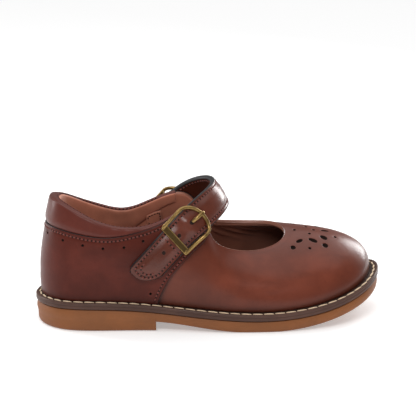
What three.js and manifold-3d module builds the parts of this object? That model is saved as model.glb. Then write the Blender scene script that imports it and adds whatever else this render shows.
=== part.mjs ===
import * as THREE from "three";
import { mergeVertices } from "three/addons/utils/BufferGeometryUtils.js";
import Module from "manifold-3d";

// A right child's mary jane shoe. Millimetres: x from the heel to the toe, y to the inner side, z up.

// Main sizes
const LENGTH = 170;
const BALL_WIDTH = 69;
const HEEL_HEIGHT = 14.4;
const INSTEP_HEIGHT = 72;

// Sole and welt
const WELT_THICKNESS = 3.4;
const WELT_MARGIN = 4.4;
const WELT_BEVEL = 0.7;
const HEEL_LENGTH = 56.2;
const HEEL_OVERLAP = 1.2;
const HEEL_BEVEL = 2.4;
const SOLE_UNDERCUT = 0.9;
const SOLE_BULGE = 0.5;
const INSOLE_THICKNESS = 2.2;

// Leather
const GAP = 0.3;
const WALL = 1.8;
const QUARTER_THICKNESS = 1.3;
const COLLAR_DEPTH = 11.5;
const COLLAR_PAD = 1.9;
const COLLAR_ROLL = 2.1;
const COLLAR_LIP = 0.8;
const COLLAR_INSIDE = 12;
const STRAP_WIDTH = 14.2;
const STRAP_THICKNESS = 2.4;
const STRAP_EDGE_ROUND = 0.5;
const HOLE_RADIUS = 0.9;
const SLOT_RADIUS = 1.3;
const SLOT_STRETCH_RATIO = 1.8;
const SLOT_AHEAD = 0.7;
const LIFT_LENGTH = 3.2;
const OUTER_TAIL = 25.4;
const INNER_TAIL = 22.9;
const HOLE_BELOW_KEEPER = 8.2;
const HOLE_ABOVE_KEEPER = 2.6;

// Buckle
const FRAME_WIDE = 1.5;
const FRAME_THICK = 1.6;
const FRAME_CLEARANCE = 0.2;
const KEEPER_WIDE = 3;
const KEEPER_THICK = 1.5;
const BAR_RADIUS = 0.6;
const BUCKLE_REACH = 16.8;
const BAR_REACH = 9.2;
const PRONG_WIDE = 1.7;
const PRONG_THICK = 1.3;

// Fineness of the surfaces: steps between two rows of the upper's table, up its wall, round the sole and so on
const STEPS_PER_ROW = 4;
const WALL_STEPS = 9;
const SOLE_STEPS = 72;
const RUNG_STEPS = 2;
const STRAP_STEPS_ACROSS = 4;
const STRAP_STEPS = 21;
const FRONT_STEPS = 24;
const RULER_STEPS = 60;
const KEEPER_STEPS = 6;
const ARC_STEPS = 10;
const HOLE_SIDES = 10;
const ROD_SIDES = 6;

// Rows of the ribs' table on each side of the heel that the quarter's shell and the collar reach over
const QUARTER_ROWS = 8.25;
const COLLAR_ROWS = 5.75;
const COLLAR_FADE_ROWS = 2.5;
const COLLAR_END_SHARE = 0.35;

// Plan of the welt's edge, round from the heel by the outer side: x in shares of LENGTH, y of BALL_WIDTH
const OUTLINE = [
  { x: 0.0, y: 0.0 },
  { x: 0.036, y: -0.236 },
  { x: 0.13, y: -0.358 },
  { x: 0.305, y: -0.4 },
  { x: 0.479, y: -0.48 },
  { x: 0.645, y: -0.526 },
  { x: 0.802, y: -0.486 },
  { x: 0.944, y: -0.294 },
  { x: 1.0, y: 0.064 },
  { x: 0.952, y: 0.315 },
  { x: 0.812, y: 0.452 },
  { x: 0.645, y: 0.468 },
  { x: 0.479, y: 0.392 },
  { x: 0.305, y: 0.352 },
  { x: 0.13, y: 0.355 },
  { x: 0.036, y: 0.236 },
];

// Side view of the sole at nine even stations from heel to toe: the welt's top and the sole's underside
// in front of the heel, in shares of HEEL_HEIGHT
const SOLE_LINE = [
  { seat: 1.0, under: 0.375 },
  { seat: 1.014, under: 0.375 },
  { seat: 0.965, under: 0.365 },
  { seat: 0.833, under: 0.28 },
  { seat: 0.69, under: 0.065 },
  { seat: 0.62, under: -0.02 },
  { seat: 0.71, under: 0.08 },
  { seat: 1.01, under: 0.39 },
  { seat: 1.555, under: 0.93 },
];

// Ribs of the upper from the heel to the toe. Each rib runs from the welt to the top line and each row serves
// both sides. foot: place on the outline's table. x in shares of LENGTH; outer and inner: y in shares of
// BALL_WIDTH; outerTop and innerTop: z in shares of INSTEP_HEIGHT. rise and reach: lengths of the lower and the
// upper handle in shares of INSTEP_HEIGHT; lean and dip: their degrees out from upright and down from level.
// bare: how far the collar shows above the quarter, in shares of COLLAR_DEPTH.
const RIBS = [
  {
    foot: 0, x: 0.053, outer: 0, inner: 0, outerTop: 0.832, innerTop: 0.832,
    rise: 0.21, lean: 7, reach: 0.25, dip: 78, bare: 1,
  },
  {
    foot: 0.9, x: 0.074, outer: -0.175, inner: 0.17, outerTop: 0.818, innerTop: 0.818,
    rise: 0.21, lean: 7, reach: 0.25, dip: 79, bare: 0.93,
  },
  {
    foot: 1.9, x: 0.134, outer: -0.283, inner: 0.275, outerTop: 0.752, innerTop: 0.752,
    rise: 0.2, lean: 7, reach: 0.21, dip: 80, bare: 0.66,
  },
  {
    foot: 2.5, x: 0.2, outer: -0.312, inner: 0.3, outerTop: 0.69, innerTop: 0.695,
    rise: 0.2, lean: 6, reach: 0.2, dip: 80, bare: 0.36,
  },
  {
    foot: 3, x: 0.27, outer: -0.316, inner: 0.305, outerTop: 0.672, innerTop: 0.67,
    rise: 0.19, lean: 6, reach: 0.2, dip: 78, bare: 0.1,
  },
  {
    foot: 3.4, x: 0.35, outer: -0.302, inner: 0.29, outerTop: 0.722, innerTop: 0.744,
    rise: 0.2, lean: 6, reach: 0.22, dip: 74, bare: 0.06,
  },
  {
    foot: 3.8, x: 0.43, outer: -0.27, inner: 0.265, outerTop: 0.798, innerTop: 0.802,
    rise: 0.21, lean: 6, reach: 0.26, dip: 68, bare: 0.06,
  },
  {
    foot: 4.2, x: 0.478, outer: -0.272, inner: 0.27, outerTop: 0.705, innerTop: 0.715,
    rise: 0.19, lean: 6, reach: 0.2, dip: 64, bare: 0.06,
  },
  {
    foot: 4.6, x: 0.506, outer: -0.276, inner: 0.262, outerTop: 0.575, innerTop: 0.62,
    rise: 0.16, lean: 7, reach: 0.16, dip: 58, bare: 0.06,
  },
  {
    foot: 5.15, x: 0.567, outer: -0.25, inner: 0.24, outerTop: 0.508, innerTop: 0.6,
    rise: 0.15, lean: 8, reach: 0.16, dip: 46, bare: 0.06,
  },
  {
    foot: 5.95, x: 0.637, outer: -0.19, inner: 0.21, outerTop: 0.492, innerTop: 0.6,
    rise: 0.15, lean: 9, reach: 0.2, dip: 30, bare: 0.06,
  },
  {
    foot: 6.95, x: 0.697, outer: -0.1, inner: 0.145, outerTop: 0.52, innerTop: 0.6,
    rise: 0.18, lean: 7, reach: 0.28, dip: 12, bare: 0.06,
  },
  {
    foot: 8, x: 0.72, outer: 0.03, inner: 0.03, outerTop: 0.565, innerTop: 0.565,
    rise: 0.22, lean: 4, reach: 0.33, dip: -2, bare: 0.06,
  },
];

// Front edge of the quarter in side view, from under the welt's top up past the throat: x in shares of LENGTH,
// z of INSTEP_HEIGHT
const QUARTER_FRONT = [
  { x: 0.332, z: 0.1 },
  { x: 0.337, z: 0.207 },
  { x: 0.352, z: 0.296 },
  { x: 0.37, z: 0.374 },
  { x: 0.399, z: 0.458 },
  { x: 0.43, z: 0.534 },
  { x: 0.457, z: 0.588 },
  { x: 0.477, z: 0.635 },
  { x: 0.488, z: 0.72 },
  { x: 0.49, z: 0.9 },
  { x: 0.49, z: 1.2 },
];

// Middle of the strap in side view, from its tip to where it leaves the wall, on both sides: the same shares
const STRAP_PATH = [
  { x: 0.284, z: 0.37 },
  { x: 0.337, z: 0.496 },
  { x: 0.389, z: 0.618 },
  { x: 0.44, z: 0.73 },
];

// The strap's crown over the instep: its middle and how far it tips down to the front
const CROWN = { x: 0.523, z: 0.858, tip: 58, handle: 0.15, spring: 0.14 };

// Slanted blunt end of the strap: back from the tip in shares of STRAP_WIDTH, and how far it reaches to the rear
// and to the front in shares of the half width
const STRAP_TIP = [
  { back: 0, rear: 0.8, front: -0.1 },
  { back: 0.05, rear: 0.93, front: 0.16 },
  { back: 0.12, rear: 0.98, front: 0.38 },
  { back: 0.24, rear: 1, front: 0.62 },
  { back: 0.4, rear: 1, front: 0.84 },
  { back: 0.62, rear: 1, front: 1 },
];

// Edges of the sole's plates from the top down: inset in millimetres past the piece's own edge, level as a share
// of the way from the top face to the bottom face
const SLAB_EDGE = [
  { inset: 0, level: 0 },
  { inset: -SOLE_BULGE, level: 0.3 },
  { inset: 0, level: 0.75 },
  { inset: SOLE_UNDERCUT, level: 1 },
];
const HEEL_BEVEL_LEVEL = 1 - HEEL_BEVEL / HEEL_HEIGHT;
const HEEL_EDGE = [
  { inset: HEEL_BEVEL * 0.08, level: 0.06 },
  { inset: HEEL_BEVEL * 0.04, level: HEEL_BEVEL_LEVEL * 0.6 },
  { inset: HEEL_BEVEL * 0.16, level: HEEL_BEVEL_LEVEL },
  { inset: HEEL_BEVEL * 0.45, level: (1 + HEEL_BEVEL_LEVEL) / 2 },
  { inset: HEEL_BEVEL, level: 1 },
];
const WELT_BEVEL_LEVEL = WELT_BEVEL / WELT_THICKNESS;
const WELT_EDGE = [
  { inset: WELT_BEVEL, level: 0 },
  { inset: 0, level: WELT_BEVEL_LEVEL },
  { inset: 0, level: 1 - WELT_BEVEL_LEVEL },
  { inset: WELT_BEVEL, level: 1 },
];
const INSOLE_EDGE = [
  { inset: INSOLE_THICKNESS * 0.23, level: 0 },
  { inset: 0, level: 0.3 },
  { inset: 0, level: 1 },
];

// Turns in degrees at which the collar's round back is drawn, from its outer to its inner side
const ROLL_TURNS = [30, 60, 90, 120, 150];

// Side of the prong: along from the hidden bar in shares of PRONG_THICK, and the share of its climb to the D
const PRONG_RISE = [
  { along: -0.6, climb: 0 },
  { along: 0.3, climb: 0.08 },
  { along: 1.4, climb: 0.42 },
  { along: 2.5, climb: 0.75 },
  { along: 3.8, climb: 0.96 },
];

// Distances up the strap: the keeper from the tip on each side, and the open holes from the keeper
const KEEPER_AT = { outer: OUTER_TAIL, inner: INNER_TAIL };
const HOLES_FROM_KEEPER = [-HOLE_BELOW_KEEPER, HOLE_ABOVE_KEEPER];

const LATERAL = { name: "outer", sign: -1 };
const MEDIAL = { name: "inner", sign: 1 };
const UP = new THREE.Vector3(0, 0, 1);

const wasm = await Module();
wasm.setup();

// Smooth curve through evenly spaced values, closed on itself or free at both ends
function spline(values, closed) {
  const count = values.length;
  const bend = new Array(count).fill(0);
  const first = closed ? 0 : 1;
  const last = closed ? count : count - 1;
  for (let sweep = 0; sweep < 60; sweep += 1) {
    for (let i = first; i < last; i += 1) {
      const before = (i + count - 1) % count;
      const after = (i + 1) % count;
      const turn = 6 * (values[before] - 2 * values[i] + values[after]);
      bend[i] = (turn - bend[before] - bend[after]) / 4;
    }
  }
  return (at) => {
    const cell = closed ? Math.floor(at) : Math.min(Math.max(Math.floor(at), 0), count - 2);
    const i = ((cell % count) + count) % count;
    const j = (i + 1) % count;
    const b = at - cell;
    const a = 1 - b;
    return a * values[i] + b * values[j] + ((a ** 3 - a) * bend[i] + (b ** 3 - b) * bend[j]) / 6;
  };
}

// One closed or open curve for every column of a table
function columns(rows, closed) {
  const curves = {};
  for (const name of Object.keys(rows[0])) {
    curves[name] = spline(rows.map((row) => row[name]), closed);
  }
  return curves;
}

const outlineCurve = columns(OUTLINE, true);
const soleCurve = columns(SOLE_LINE, false);

// Point of the sole's plan, moved in by a distance, with its outward direction
function outline(place, inset = 0) {
  const at = (p) => new THREE.Vector3(outlineCurve.x(p) * LENGTH, outlineCurve.y(p) * BALL_WIDTH, 0);
  const along = at(place + 0.01).sub(at(place - 0.01));
  const out = new THREE.Vector3(along.y, -along.x, 0).normalize();
  return { point: at(place).addScaledVector(out, -inset), out };
}

// Heights at a place along the shoe: the welt's top, and the sole's underside in front of the heel
function seatHeight(x) {
  return soleCurve.seat((x / LENGTH) * (SOLE_LINE.length - 1)) * HEEL_HEIGHT;
}

function undersideHeight(x) {
  return Math.max(0, soleCurve.under((x / LENGTH) * (SOLE_LINE.length - 1)) * HEEL_HEIGHT);
}

// The ribs' table laid round the shoe: down the outer side to the toe and back along the inner side
function ringTable() {
  const last = RIBS.length - 1;
  const ring = RIBS.map((row) => ({ ...row, y: row.outer, z: row.outerTop }));
  for (let i = last - 1; i > 0; i -= 1) {
    const row = RIBS[i];
    ring.push({ ...row, foot: OUTLINE.length - row.foot, y: row.inner, z: row.innerTop });
  }
  const pace = OUTLINE.length / ring.length;
  ring.forEach((row, i) => {
    row.foot -= i * pace;
  });
  return { ring, pace };
}

const { ring: RING, pace: FOOT_PACE } = ringTable();
const RING_COUNT = RING.length;
const ribCurve = columns(RING, true);

function topPoint(s) {
  return new THREE.Vector3(ribCurve.x(s) * LENGTH, ribCurve.y(s) * BALL_WIDTH, ribCurve.z(s) * INSTEP_HEIGHT);
}

// The four points of a rib: on the welt, its lower handle, its upper handle, on the top line
function rib(s) {
  const foot = outline(ribCurve.foot(s) + s * FOOT_PACE, WELT_MARGIN);
  foot.point.z = seatHeight(foot.point.x) + GAP;
  const top = topPoint(s);
  const along = topPoint(s + 0.05).sub(topPoint(s - 0.05));
  const topOut = new THREE.Vector3(along.y, -along.x, 0).normalize();
  const lean = THREE.MathUtils.degToRad(ribCurve.lean(s));
  const dip = THREE.MathUtils.degToRad(ribCurve.dip(s));
  const rise = ribCurve.rise(s) * INSTEP_HEIGHT;
  const reach = ribCurve.reach(s) * INSTEP_HEIGHT;
  const low = foot.point.clone().addScaledVector(UP, rise * Math.cos(lean));
  low.addScaledVector(foot.out, rise * Math.sin(lean));
  const high = top.clone().addScaledVector(UP, -reach * Math.sin(dip));
  high.addScaledVector(topOut, reach * Math.cos(dip));
  return [foot.point, low, high, top];
}

// Point on the upper's outer face: s round the shoe in rows of the table, t from the welt to the top line
function skin(s, t) {
  const [a, b, c, d] = rib(s);
  const r = 1 - t;
  return a
    .multiplyScalar(r * r * r)
    .addScaledVector(b, 3 * r * r * t)
    .addScaledVector(c, 3 * r * t * t)
    .addScaledVector(d, t * t * t);
}

// Outward direction of the upper's face
function skinNormal(s, t) {
  const across = skin(s + 0.02, t).sub(skin(s - 0.02, t));
  const up = skin(s, t + 0.01).sub(skin(s, t - 0.01));
  return up.cross(across).negate().normalize();
}

// Point off the upper's face; at the welt it keeps the clearance over the welt's top
function skinOffset(s, t, offset) {
  const point = skin(s, t).addScaledVector(skinNormal(s, t), offset);
  if (t === 0) {
    point.z = seatHeight(point.x) + GAP;
  }
  return point;
}

// Length of a rib's upper end per unit of t, which turns depths below the top line into t
function topSpeed(s) {
  return skin(s, 1).distanceTo(skin(s, 0.9)) / 0.1;
}

// Start, step and number of turns of the search for a place on the upper's face
const SEARCH = { row: 5.5, height: 0.6, step: 0.002, turns: 12 };

// Place on the upper's face with a given x and z in side view, on one side of the shoe
function placeInSideView(side, x, z) {
  let s = side === LATERAL ? SEARCH.row : RING_COUNT - SEARCH.row;
  let t = SEARCH.height;
  const step = SEARCH.step;
  for (let turn = 0; turn < SEARCH.turns; turn += 1) {
    const here = skin(s, t);
    const bySide = skin(s + step, t).sub(here).divideScalar(step);
    const byUp = skin(s, t + step).sub(here).divideScalar(step);
    const missX = x - here.x;
    const missZ = z - here.z;
    const area = bySide.x * byUp.z - bySide.z * byUp.x;
    s += THREE.MathUtils.clamp((missX * byUp.z - missZ * byUp.x) / area, -1, 1);
    t += THREE.MathUtils.clamp((bySide.x * missZ - bySide.z * missX) / area, -0.3, 0.3);
  }
  return { s, t };
}

// Surface from its points and the corners of its triangles
function meshFrom(points, triangles) {
  const geometry = new THREE.BufferGeometry();
  const values = points.flatMap((p) => [p.x, p.y, p.z]);
  geometry.setAttribute("position", new THREE.Float32BufferAttribute(values, 3));
  geometry.setIndex(triangles);
  return geometry;
}

// Solid from a ring of closed sections: each section a closed loop of points, the ends capped or joined up
function loft(sections, joined) {
  const around = sections[0].length;
  const triangles = [];
  const quad = (a, b, c, d) => triangles.push(a, b, c, a, c, d);
  const spans = joined ? sections.length : sections.length - 1;
  for (let i = 0; i < spans; i += 1) {
    const here = i * around;
    const next = ((i + 1) % sections.length) * around;
    for (let j = 0; j < around; j += 1) {
      const k = (j + 1) % around;
      quad(here + j, here + k, next + k, next + j);
    }
  }
  if (!joined) {
    for (const [section, flip] of [[0, true], [sections.length - 1, false]]) {
      const base = section * around;
      for (const face of capFaces(sections[section])) {
        const [a, b, c] = face.map((v) => v + base);
        triangles.push(a, flip ? c : b, flip ? b : c);
      }
    }
  }
  return outward(meshFrom(sections.flat(), triangles));
}

// Triangles that fill a loop of points, found in the loop's own flattest view
function capFaces(loop) {
  const middle = new THREE.Vector3();
  loop.forEach((p) => middle.addScaledVector(p, 1 / loop.length));
  const normal = new THREE.Vector3();
  loop.forEach((p, i) => {
    const next = loop[(i + 1) % loop.length];
    normal.add(p.clone().sub(middle).cross(next.clone().sub(middle)));
  });
  normal.normalize();
  const right = loop[0].clone().sub(middle).projectOnPlane(normal).normalize();
  const up = normal.clone().cross(right);
  const flat = loop.map((p) => {
    const off = p.clone().sub(middle);
    return new THREE.Vector2(off.dot(right), off.dot(up));
  });
  return THREE.ShapeUtils.triangulateShape(flat, []);
}

// The same surface with its faces turned out
function outward(geometry) {
  const position = geometry.getAttribute("position");
  const index = geometry.getIndex();
  const [a, b, c] = [new THREE.Vector3(), new THREE.Vector3(), new THREE.Vector3()];
  let volume = 0;
  for (let i = 0; i < index.count; i += 3) {
    a.fromBufferAttribute(position, index.getX(i));
    b.fromBufferAttribute(position, index.getX(i + 1));
    c.fromBufferAttribute(position, index.getX(i + 2));
    volume += a.dot(b.cross(c));
  }
  if (volume < 0) {
    const turned = Array.from(index.array);
    for (let i = 0; i < turned.length; i += 3) {
      [turned[i + 1], turned[i + 2]] = [turned[i + 2], turned[i + 1]];
    }
    geometry.setIndex(turned);
  }
  return geometry;
}

function toSolid(geometry) {
  const bare = geometry.clone();
  bare.deleteAttribute("normal");
  bare.deleteAttribute("uv");
  const merged = mergeVertices(bare, 1e-4);
  return new wasm.Manifold(
    new wasm.Mesh({
      numProp: 3,
      vertProperties: merged.getAttribute("position").array,
      triVerts: new Uint32Array(merged.getIndex().array),
    }),
  );
}

function toGeometry(solid) {
  const mesh = solid.getMesh();
  const geometry = new THREE.BufferGeometry();
  geometry.setAttribute("position", new THREE.BufferAttribute(mesh.vertProperties, 3));
  geometry.setIndex(Array.from(mesh.triVerts));
  return geometry;
}

// Plate over the sole's plan: a piece's edge moved in from the welt's, the rows of its edge and its two faces
function plate(inset, edges, topAt, bottomAt) {
  const points = [];
  const triangles = [];
  const heightAt = (x, level) => topAt(x) * (1 - level) + bottomAt(x) * level;
  for (const edge of edges) {
    for (let i = 0; i < SOLE_STEPS; i += 1) {
      const { point } = outline((i / SOLE_STEPS) * OUTLINE.length, inset + edge.inset);
      point.z = heightAt(point.x, edge.level);
      points.push(point);
    }
  }
  for (let row = 0; row < edges.length - 1; row += 1) {
    for (let i = 0; i < SOLE_STEPS; i += 1) {
      const j = (i + 1) % SOLE_STEPS;
      const here = row * SOLE_STEPS;
      const below = here + SOLE_STEPS;
      triangles.push(here + i, below + i, below + j, here + i, below + j, here + j);
    }
  }
  const bottomRing = (edges.length - 1) * SOLE_STEPS;
  for (const [base, level, flip] of [[0, 0, true], [bottomRing, 1, false]]) {
    const rungs = [];
    for (let i = 0; i <= SOLE_STEPS / 2; i += 1) {
      const left = base + i;
      const right = base + ((SOLE_STEPS - i) % SOLE_STEPS);
      const rung = [left];
      for (let k = 1; k < RUNG_STEPS && left !== right; k += 1) {
        const point = points[left].clone().lerp(points[right], k / RUNG_STEPS);
        point.z = heightAt(point.x, level);
        rung.push(points.length);
        points.push(point);
      }
      if (left !== right) {
        rung.push(right);
      }
      rungs.push(rung);
    }
    for (let i = 0; i < rungs.length - 1; i += 1) {
      for (let k = 0; k < RUNG_STEPS; k += 1) {
        const pick = (rung, n) => rung[Math.min(n, rung.length - 1)];
        const [here, next] = [rungs[i], rungs[i + 1]];
        const corner = [pick(here, k), pick(here, k + 1), pick(next, k + 1), pick(next, k)];
        for (const [a, b, c] of [[corner[0], corner[1], corner[2]], [corner[0], corner[2], corner[3]]]) {
          if (a !== b && b !== c && a !== c) {
            triangles.push(a, flip ? c : b, flip ? b : c);
          }
        }
      }
    }
  }
  return outward(meshFrom(points, triangles));
}

// Outsole with its heel in one piece
function outsole() {
  const topAt = (x) => seatHeight(x) - WELT_THICKNESS - GAP;
  const slab = plate(SOLE_UNDERCUT, SLAB_EDGE, topAt, undersideHeight);
  const blockTop = (x) => undersideHeight(x) + HEEL_OVERLAP;
  const block = plate(SOLE_UNDERCUT, HEEL_EDGE, blockTop, () => 0);
  const reach = BALL_WIDTH;
  const keep = new THREE.BoxGeometry(HEEL_LENGTH * 2, reach * 2, reach * 2);
  const heel = toSolid(block).intersect(toSolid(keep));
  return toGeometry(toSolid(slab).add(heel));
}

// Welt plate that the upper stands on and is stitched down to
function welt() {
  return plate(0, WELT_EDGE, seatHeight, (x) => seatHeight(x) - WELT_THICKNESS);
}

// Sock over the welt plate inside the upper
function insole() {
  const inset = WELT_MARGIN + WALL + GAP * 2;
  const bottomAt = (x) => seatHeight(x) + GAP;
  return plate(inset, INSOLE_EDGE, (x) => bottomAt(x) + INSOLE_THICKNESS, bottomAt);
}

// Hollow leather form over the last, open at the collar, the throat and underneath
function upper() {
  const sections = [];
  const count = RING_COUNT * STEPS_PER_ROW;
  for (let i = 0; i < count; i += 1) {
    const s = i / STEPS_PER_ROW;
    const outer = [];
    const inner = [];
    for (let j = 0; j <= WALL_STEPS; j += 1) {
      outer.push(skinOffset(s, j / WALL_STEPS, 0));
      inner.unshift(skinOffset(s, j / WALL_STEPS, -WALL));
    }
    sections.push([...outer, ...inner]);
  }
  return loft(sections, true);
}

// Depth of the quarter's top edge below the top line
function bareDepth(s) {
  return ribCurve.bare(s) * COLLAR_DEPTH;
}

// Outer leather round the heel, cut along its front edge from a shell off the upper's face
function quarter() {
  const sections = [];
  for (let s = -QUARTER_ROWS; s <= QUARTER_ROWS; s += 1 / STEPS_PER_ROW) {
    const top = 1 - bareDepth(s) / topSpeed(s);
    const outer = [];
    const inner = [];
    for (let j = 0; j <= WALL_STEPS; j += 1) {
      const t = (j / WALL_STEPS) * top;
      outer.push(skinOffset(s, t, GAP + QUARTER_THICKNESS));
      inner.unshift(skinOffset(s, t, GAP));
    }
    sections.push([...outer, ...inner]);
  }
  const profile = new THREE.Shape();
  profile.moveTo(-LENGTH, QUARTER_FRONT.at(-1).z * INSTEP_HEIGHT);
  profile.lineTo(-LENGTH, QUARTER_FRONT[0].z * INSTEP_HEIGHT);
  const front = columns(QUARTER_FRONT, false);
  for (let i = 0; i <= FRONT_STEPS; i += 1) {
    const at = (i / FRONT_STEPS) * (QUARTER_FRONT.length - 1);
    profile.lineTo(front.x(at) * LENGTH, front.z(at) * INSTEP_HEIGHT);
  }
  const cutter = new THREE.ExtrudeGeometry(profile, { depth: BALL_WIDTH * 2, bevelEnabled: false });
  cutter.rotateX(Math.PI / 2);
  cutter.translate(0, BALL_WIDTH, 0);
  return toGeometry(toSolid(loft(sections, false)).intersect(toSolid(cutter)));
}

// Point of the collar's section: offset out from the upper's face, depth below the top line
function collarPoint(s, offset, depth) {
  if (depth >= 0) {
    return skinOffset(s, 1 - depth / topSpeed(s), offset);
  }
  const up = skin(s, 1).sub(skin(s, 0.97)).normalize();
  return skinOffset(s, 1, offset).addScaledVector(up, -depth);
}

// Padded roll that caps the upper's top edge from one strap ear round the heel to the other
function collar() {
  const end = COLLAR_ROWS;
  const sections = [];
  for (let s = -end; s <= end; s += 1 / STEPS_PER_ROW) {
    const fade = 1 - (1 - COLLAR_END_SHARE) * THREE.MathUtils.smoothstep(Math.abs(s), end - COLLAR_FADE_ROWS, end);
    const pad = COLLAR_PAD * fade;
    const roll = COLLAR_ROLL * fade;
    const lip = bareDepth(s) - GAP;
    const hem = COLLAR_INSIDE * fade;
    const inside = -WALL - GAP;
    const middle = -WALL / 2;
    const half = WALL / 2 + GAP + pad;
    const section = [
      [GAP, -GAP],
      [GAP, lip],
      [GAP + COLLAR_LIP, lip],
      [GAP + pad, lip * 0.5],
    ];
    for (const angle of ROLL_TURNS) {
      const turn = THREE.MathUtils.degToRad(angle);
      section.push([middle + half * Math.cos(turn), -GAP - roll * Math.sin(turn)]);
    }
    section.push([inside - pad, hem * 0.4]);
    section.push([inside - COLLAR_LIP, hem], [inside, hem], [inside, -GAP]);
    sections.push(section.map(([offset, depth]) => collarPoint(s, offset, depth)));
  }
  return loft(sections, false);
}

const strapCurve = columns(STRAP_PATH, false);
const STRAP_LAST = STRAP_PATH.length - 1;

// Middle of the strap in side view at a place of its path, and the direction across it
function strapMiddle(place) {
  const at = (p) => new THREE.Vector2(strapCurve.x(p) * LENGTH, strapCurve.z(p) * INSTEP_HEIGHT);
  const along = at(place + 0.01).sub(at(place - 0.01)).normalize();
  return { point: at(place), across: new THREE.Vector2(along.y, -along.x) };
}

// Point of the strap's bed on the wall: across from the strap's middle, height above the quarter's clearance
function wallBed(side, place, across, height) {
  const middle = strapMiddle(place);
  const x = middle.point.x + middle.across.x * across;
  const z = middle.point.y + middle.across.y * across;
  const { s, t } = placeInSideView(side, x, z);
  return skin(s, t).addScaledVector(skinNormal(s, t), QUARTER_THICKNESS + GAP * 2 + height);
}

// Point of the strap's bed between the wall and the crown, share from 0 at the wall to 1 at the crown
function bridgeBed(side, share, across) {
  const start = wallBed(side, STRAP_LAST, across, 0);
  const leave = start.clone().sub(wallBed(side, STRAP_LAST - 0.05, across, 0)).normalize();
  const tip = THREE.MathUtils.degToRad(CROWN.tip);
  const crown = new THREE.Vector3(CROWN.x * LENGTH, 0, CROWN.z * INSTEP_HEIGHT);
  crown.x += across * Math.cos(tip);
  crown.z -= across * Math.sin(tip);
  const low = start.clone().addScaledVector(leave, CROWN.spring * INSTEP_HEIGHT);
  const high = crown.clone();
  high.y += side.sign * CROWN.handle * INSTEP_HEIGHT;
  const r = 1 - share;
  return start
    .multiplyScalar(r * r * r)
    .addScaledVector(low, 3 * r * r * share)
    .addScaledVector(high, 3 * r * share * share)
    .addScaledVector(crown, share * share * share);
}

// Length of the strap's middle line on the wall and on to the crown, with the places at even steps
function strapRuler(side) {
  const marks = [];
  for (let i = 0; i <= RULER_STEPS; i += 1) {
    const place = (i / RULER_STEPS) * STRAP_LAST;
    marks.push({ place, point: wallBed(side, place, 0, 0) });
  }
  for (let i = 1; i <= RULER_STEPS; i += 1) {
    const share = i / RULER_STEPS;
    marks.push({ place: STRAP_LAST + share, point: bridgeBed(side, share, 0) });
  }
  marks[0].length = 0;
  for (let i = 1; i < marks.length; i += 1) {
    marks[i].length = marks[i - 1].length + marks[i].point.distanceTo(marks[i - 1].point);
  }
  return marks;
}

const RULERS = { outer: strapRuler(LATERAL), inner: strapRuler(MEDIAL) };

// Place on the strap's path at a distance up from its tip
function placeAt(side, distance) {
  const marks = RULERS[side.name];
  let i = 1;
  while (i < marks.length - 1 && marks[i].length < distance) {
    i += 1;
  }
  const before = marks[i - 1];
  const share = (distance - before.length) / (marks[i].length - before.length);
  return before.place + (marks[i].place - before.place) * share;
}

// Point of the strap's bed at a distance up from the tip, across from its middle and above its face
function bed(side, distance, across, height) {
  const place = placeAt(side, distance);
  if (place <= STRAP_LAST) {
    return wallBed(side, place, across, height);
  }
  const share = place - STRAP_LAST;
  const along = bridgeBed(side, Math.min(share + 0.01, 1), across).sub(bridgeBed(side, share - 0.01, across));
  const over = bridgeBed(side, share, across + 0.5).sub(bridgeBed(side, share, across - 0.5));
  const out = over.cross(along).multiplyScalar(-side.sign).normalize();
  return bridgeBed(side, share, across).addScaledVector(out, height);
}

// How far the strap is lifted over the buckle's hidden bar
function strapLift(side, distance) {
  const off = (distance - KEEPER_AT[side.name] - BAR_REACH) / LIFT_LENGTH;
  return (BAR_RADIUS * 2 + GAP * 2) * Math.exp(-off * off);
}

// How far the strap reaches to the rear and to the front of its middle at a distance from the tip
function strapReach(distance) {
  const half = STRAP_WIDTH / 2;
  for (let i = 1; i < STRAP_TIP.length; i += 1) {
    const [near, far] = [STRAP_TIP[i - 1], STRAP_TIP[i]];
    if (distance <= far.back * STRAP_WIDTH) {
      const share = (distance / STRAP_WIDTH - near.back) / (far.back - near.back);
      return {
        rear: (near.rear + (far.rear - near.rear) * share) * -half,
        front: (near.front + (far.front - near.front) * share) * half,
      };
    }
  }
  return { rear: -half, front: half };
}

// One closed section across the strap
function strapSection(side, distance) {
  const { rear, front } = strapReach(distance);
  const lift = strapLift(side, distance);
  const face = [];
  const back = [];
  for (let i = 0; i <= STRAP_STEPS_ACROSS; i += 1) {
    const share = i / STRAP_STEPS_ACROSS;
    const across = rear + (front - rear) * share;
    const round = STRAP_EDGE_ROUND * (share * 2 - 1) ** 4;
    face.push(bed(side, distance, across, lift + STRAP_THICKNESS - round));
    back.unshift(bed(side, distance, across, lift));
  }
  return [...face, ...back];
}

// Hole through the strap at a distance up from its tip
function strapHole(side, distance, radius, stretch) {
  const low = bed(side, distance, 0, -GAP / 2);
  const high = bed(side, distance, 0, STRAP_THICKNESS * 3);
  const along = bed(side, distance + 1, 0, 0).sub(bed(side, distance - 1, 0, 0)).normalize();
  const axis = high.clone().sub(low).normalize();
  const across = axis.clone().cross(along).normalize();
  const sections = [low, high].map((middle) => {
    const loop = [];
    for (let i = 0; i < HOLE_SIDES; i += 1) {
      const turn = (i / HOLE_SIDES) * Math.PI * 2;
      const point = middle.clone().addScaledVector(along, radius * stretch * Math.cos(turn));
      loop.push(point.addScaledVector(across, radius * Math.sin(turn)));
    }
    return loop;
  });
  return toSolid(loft(sections, false));
}

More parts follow.
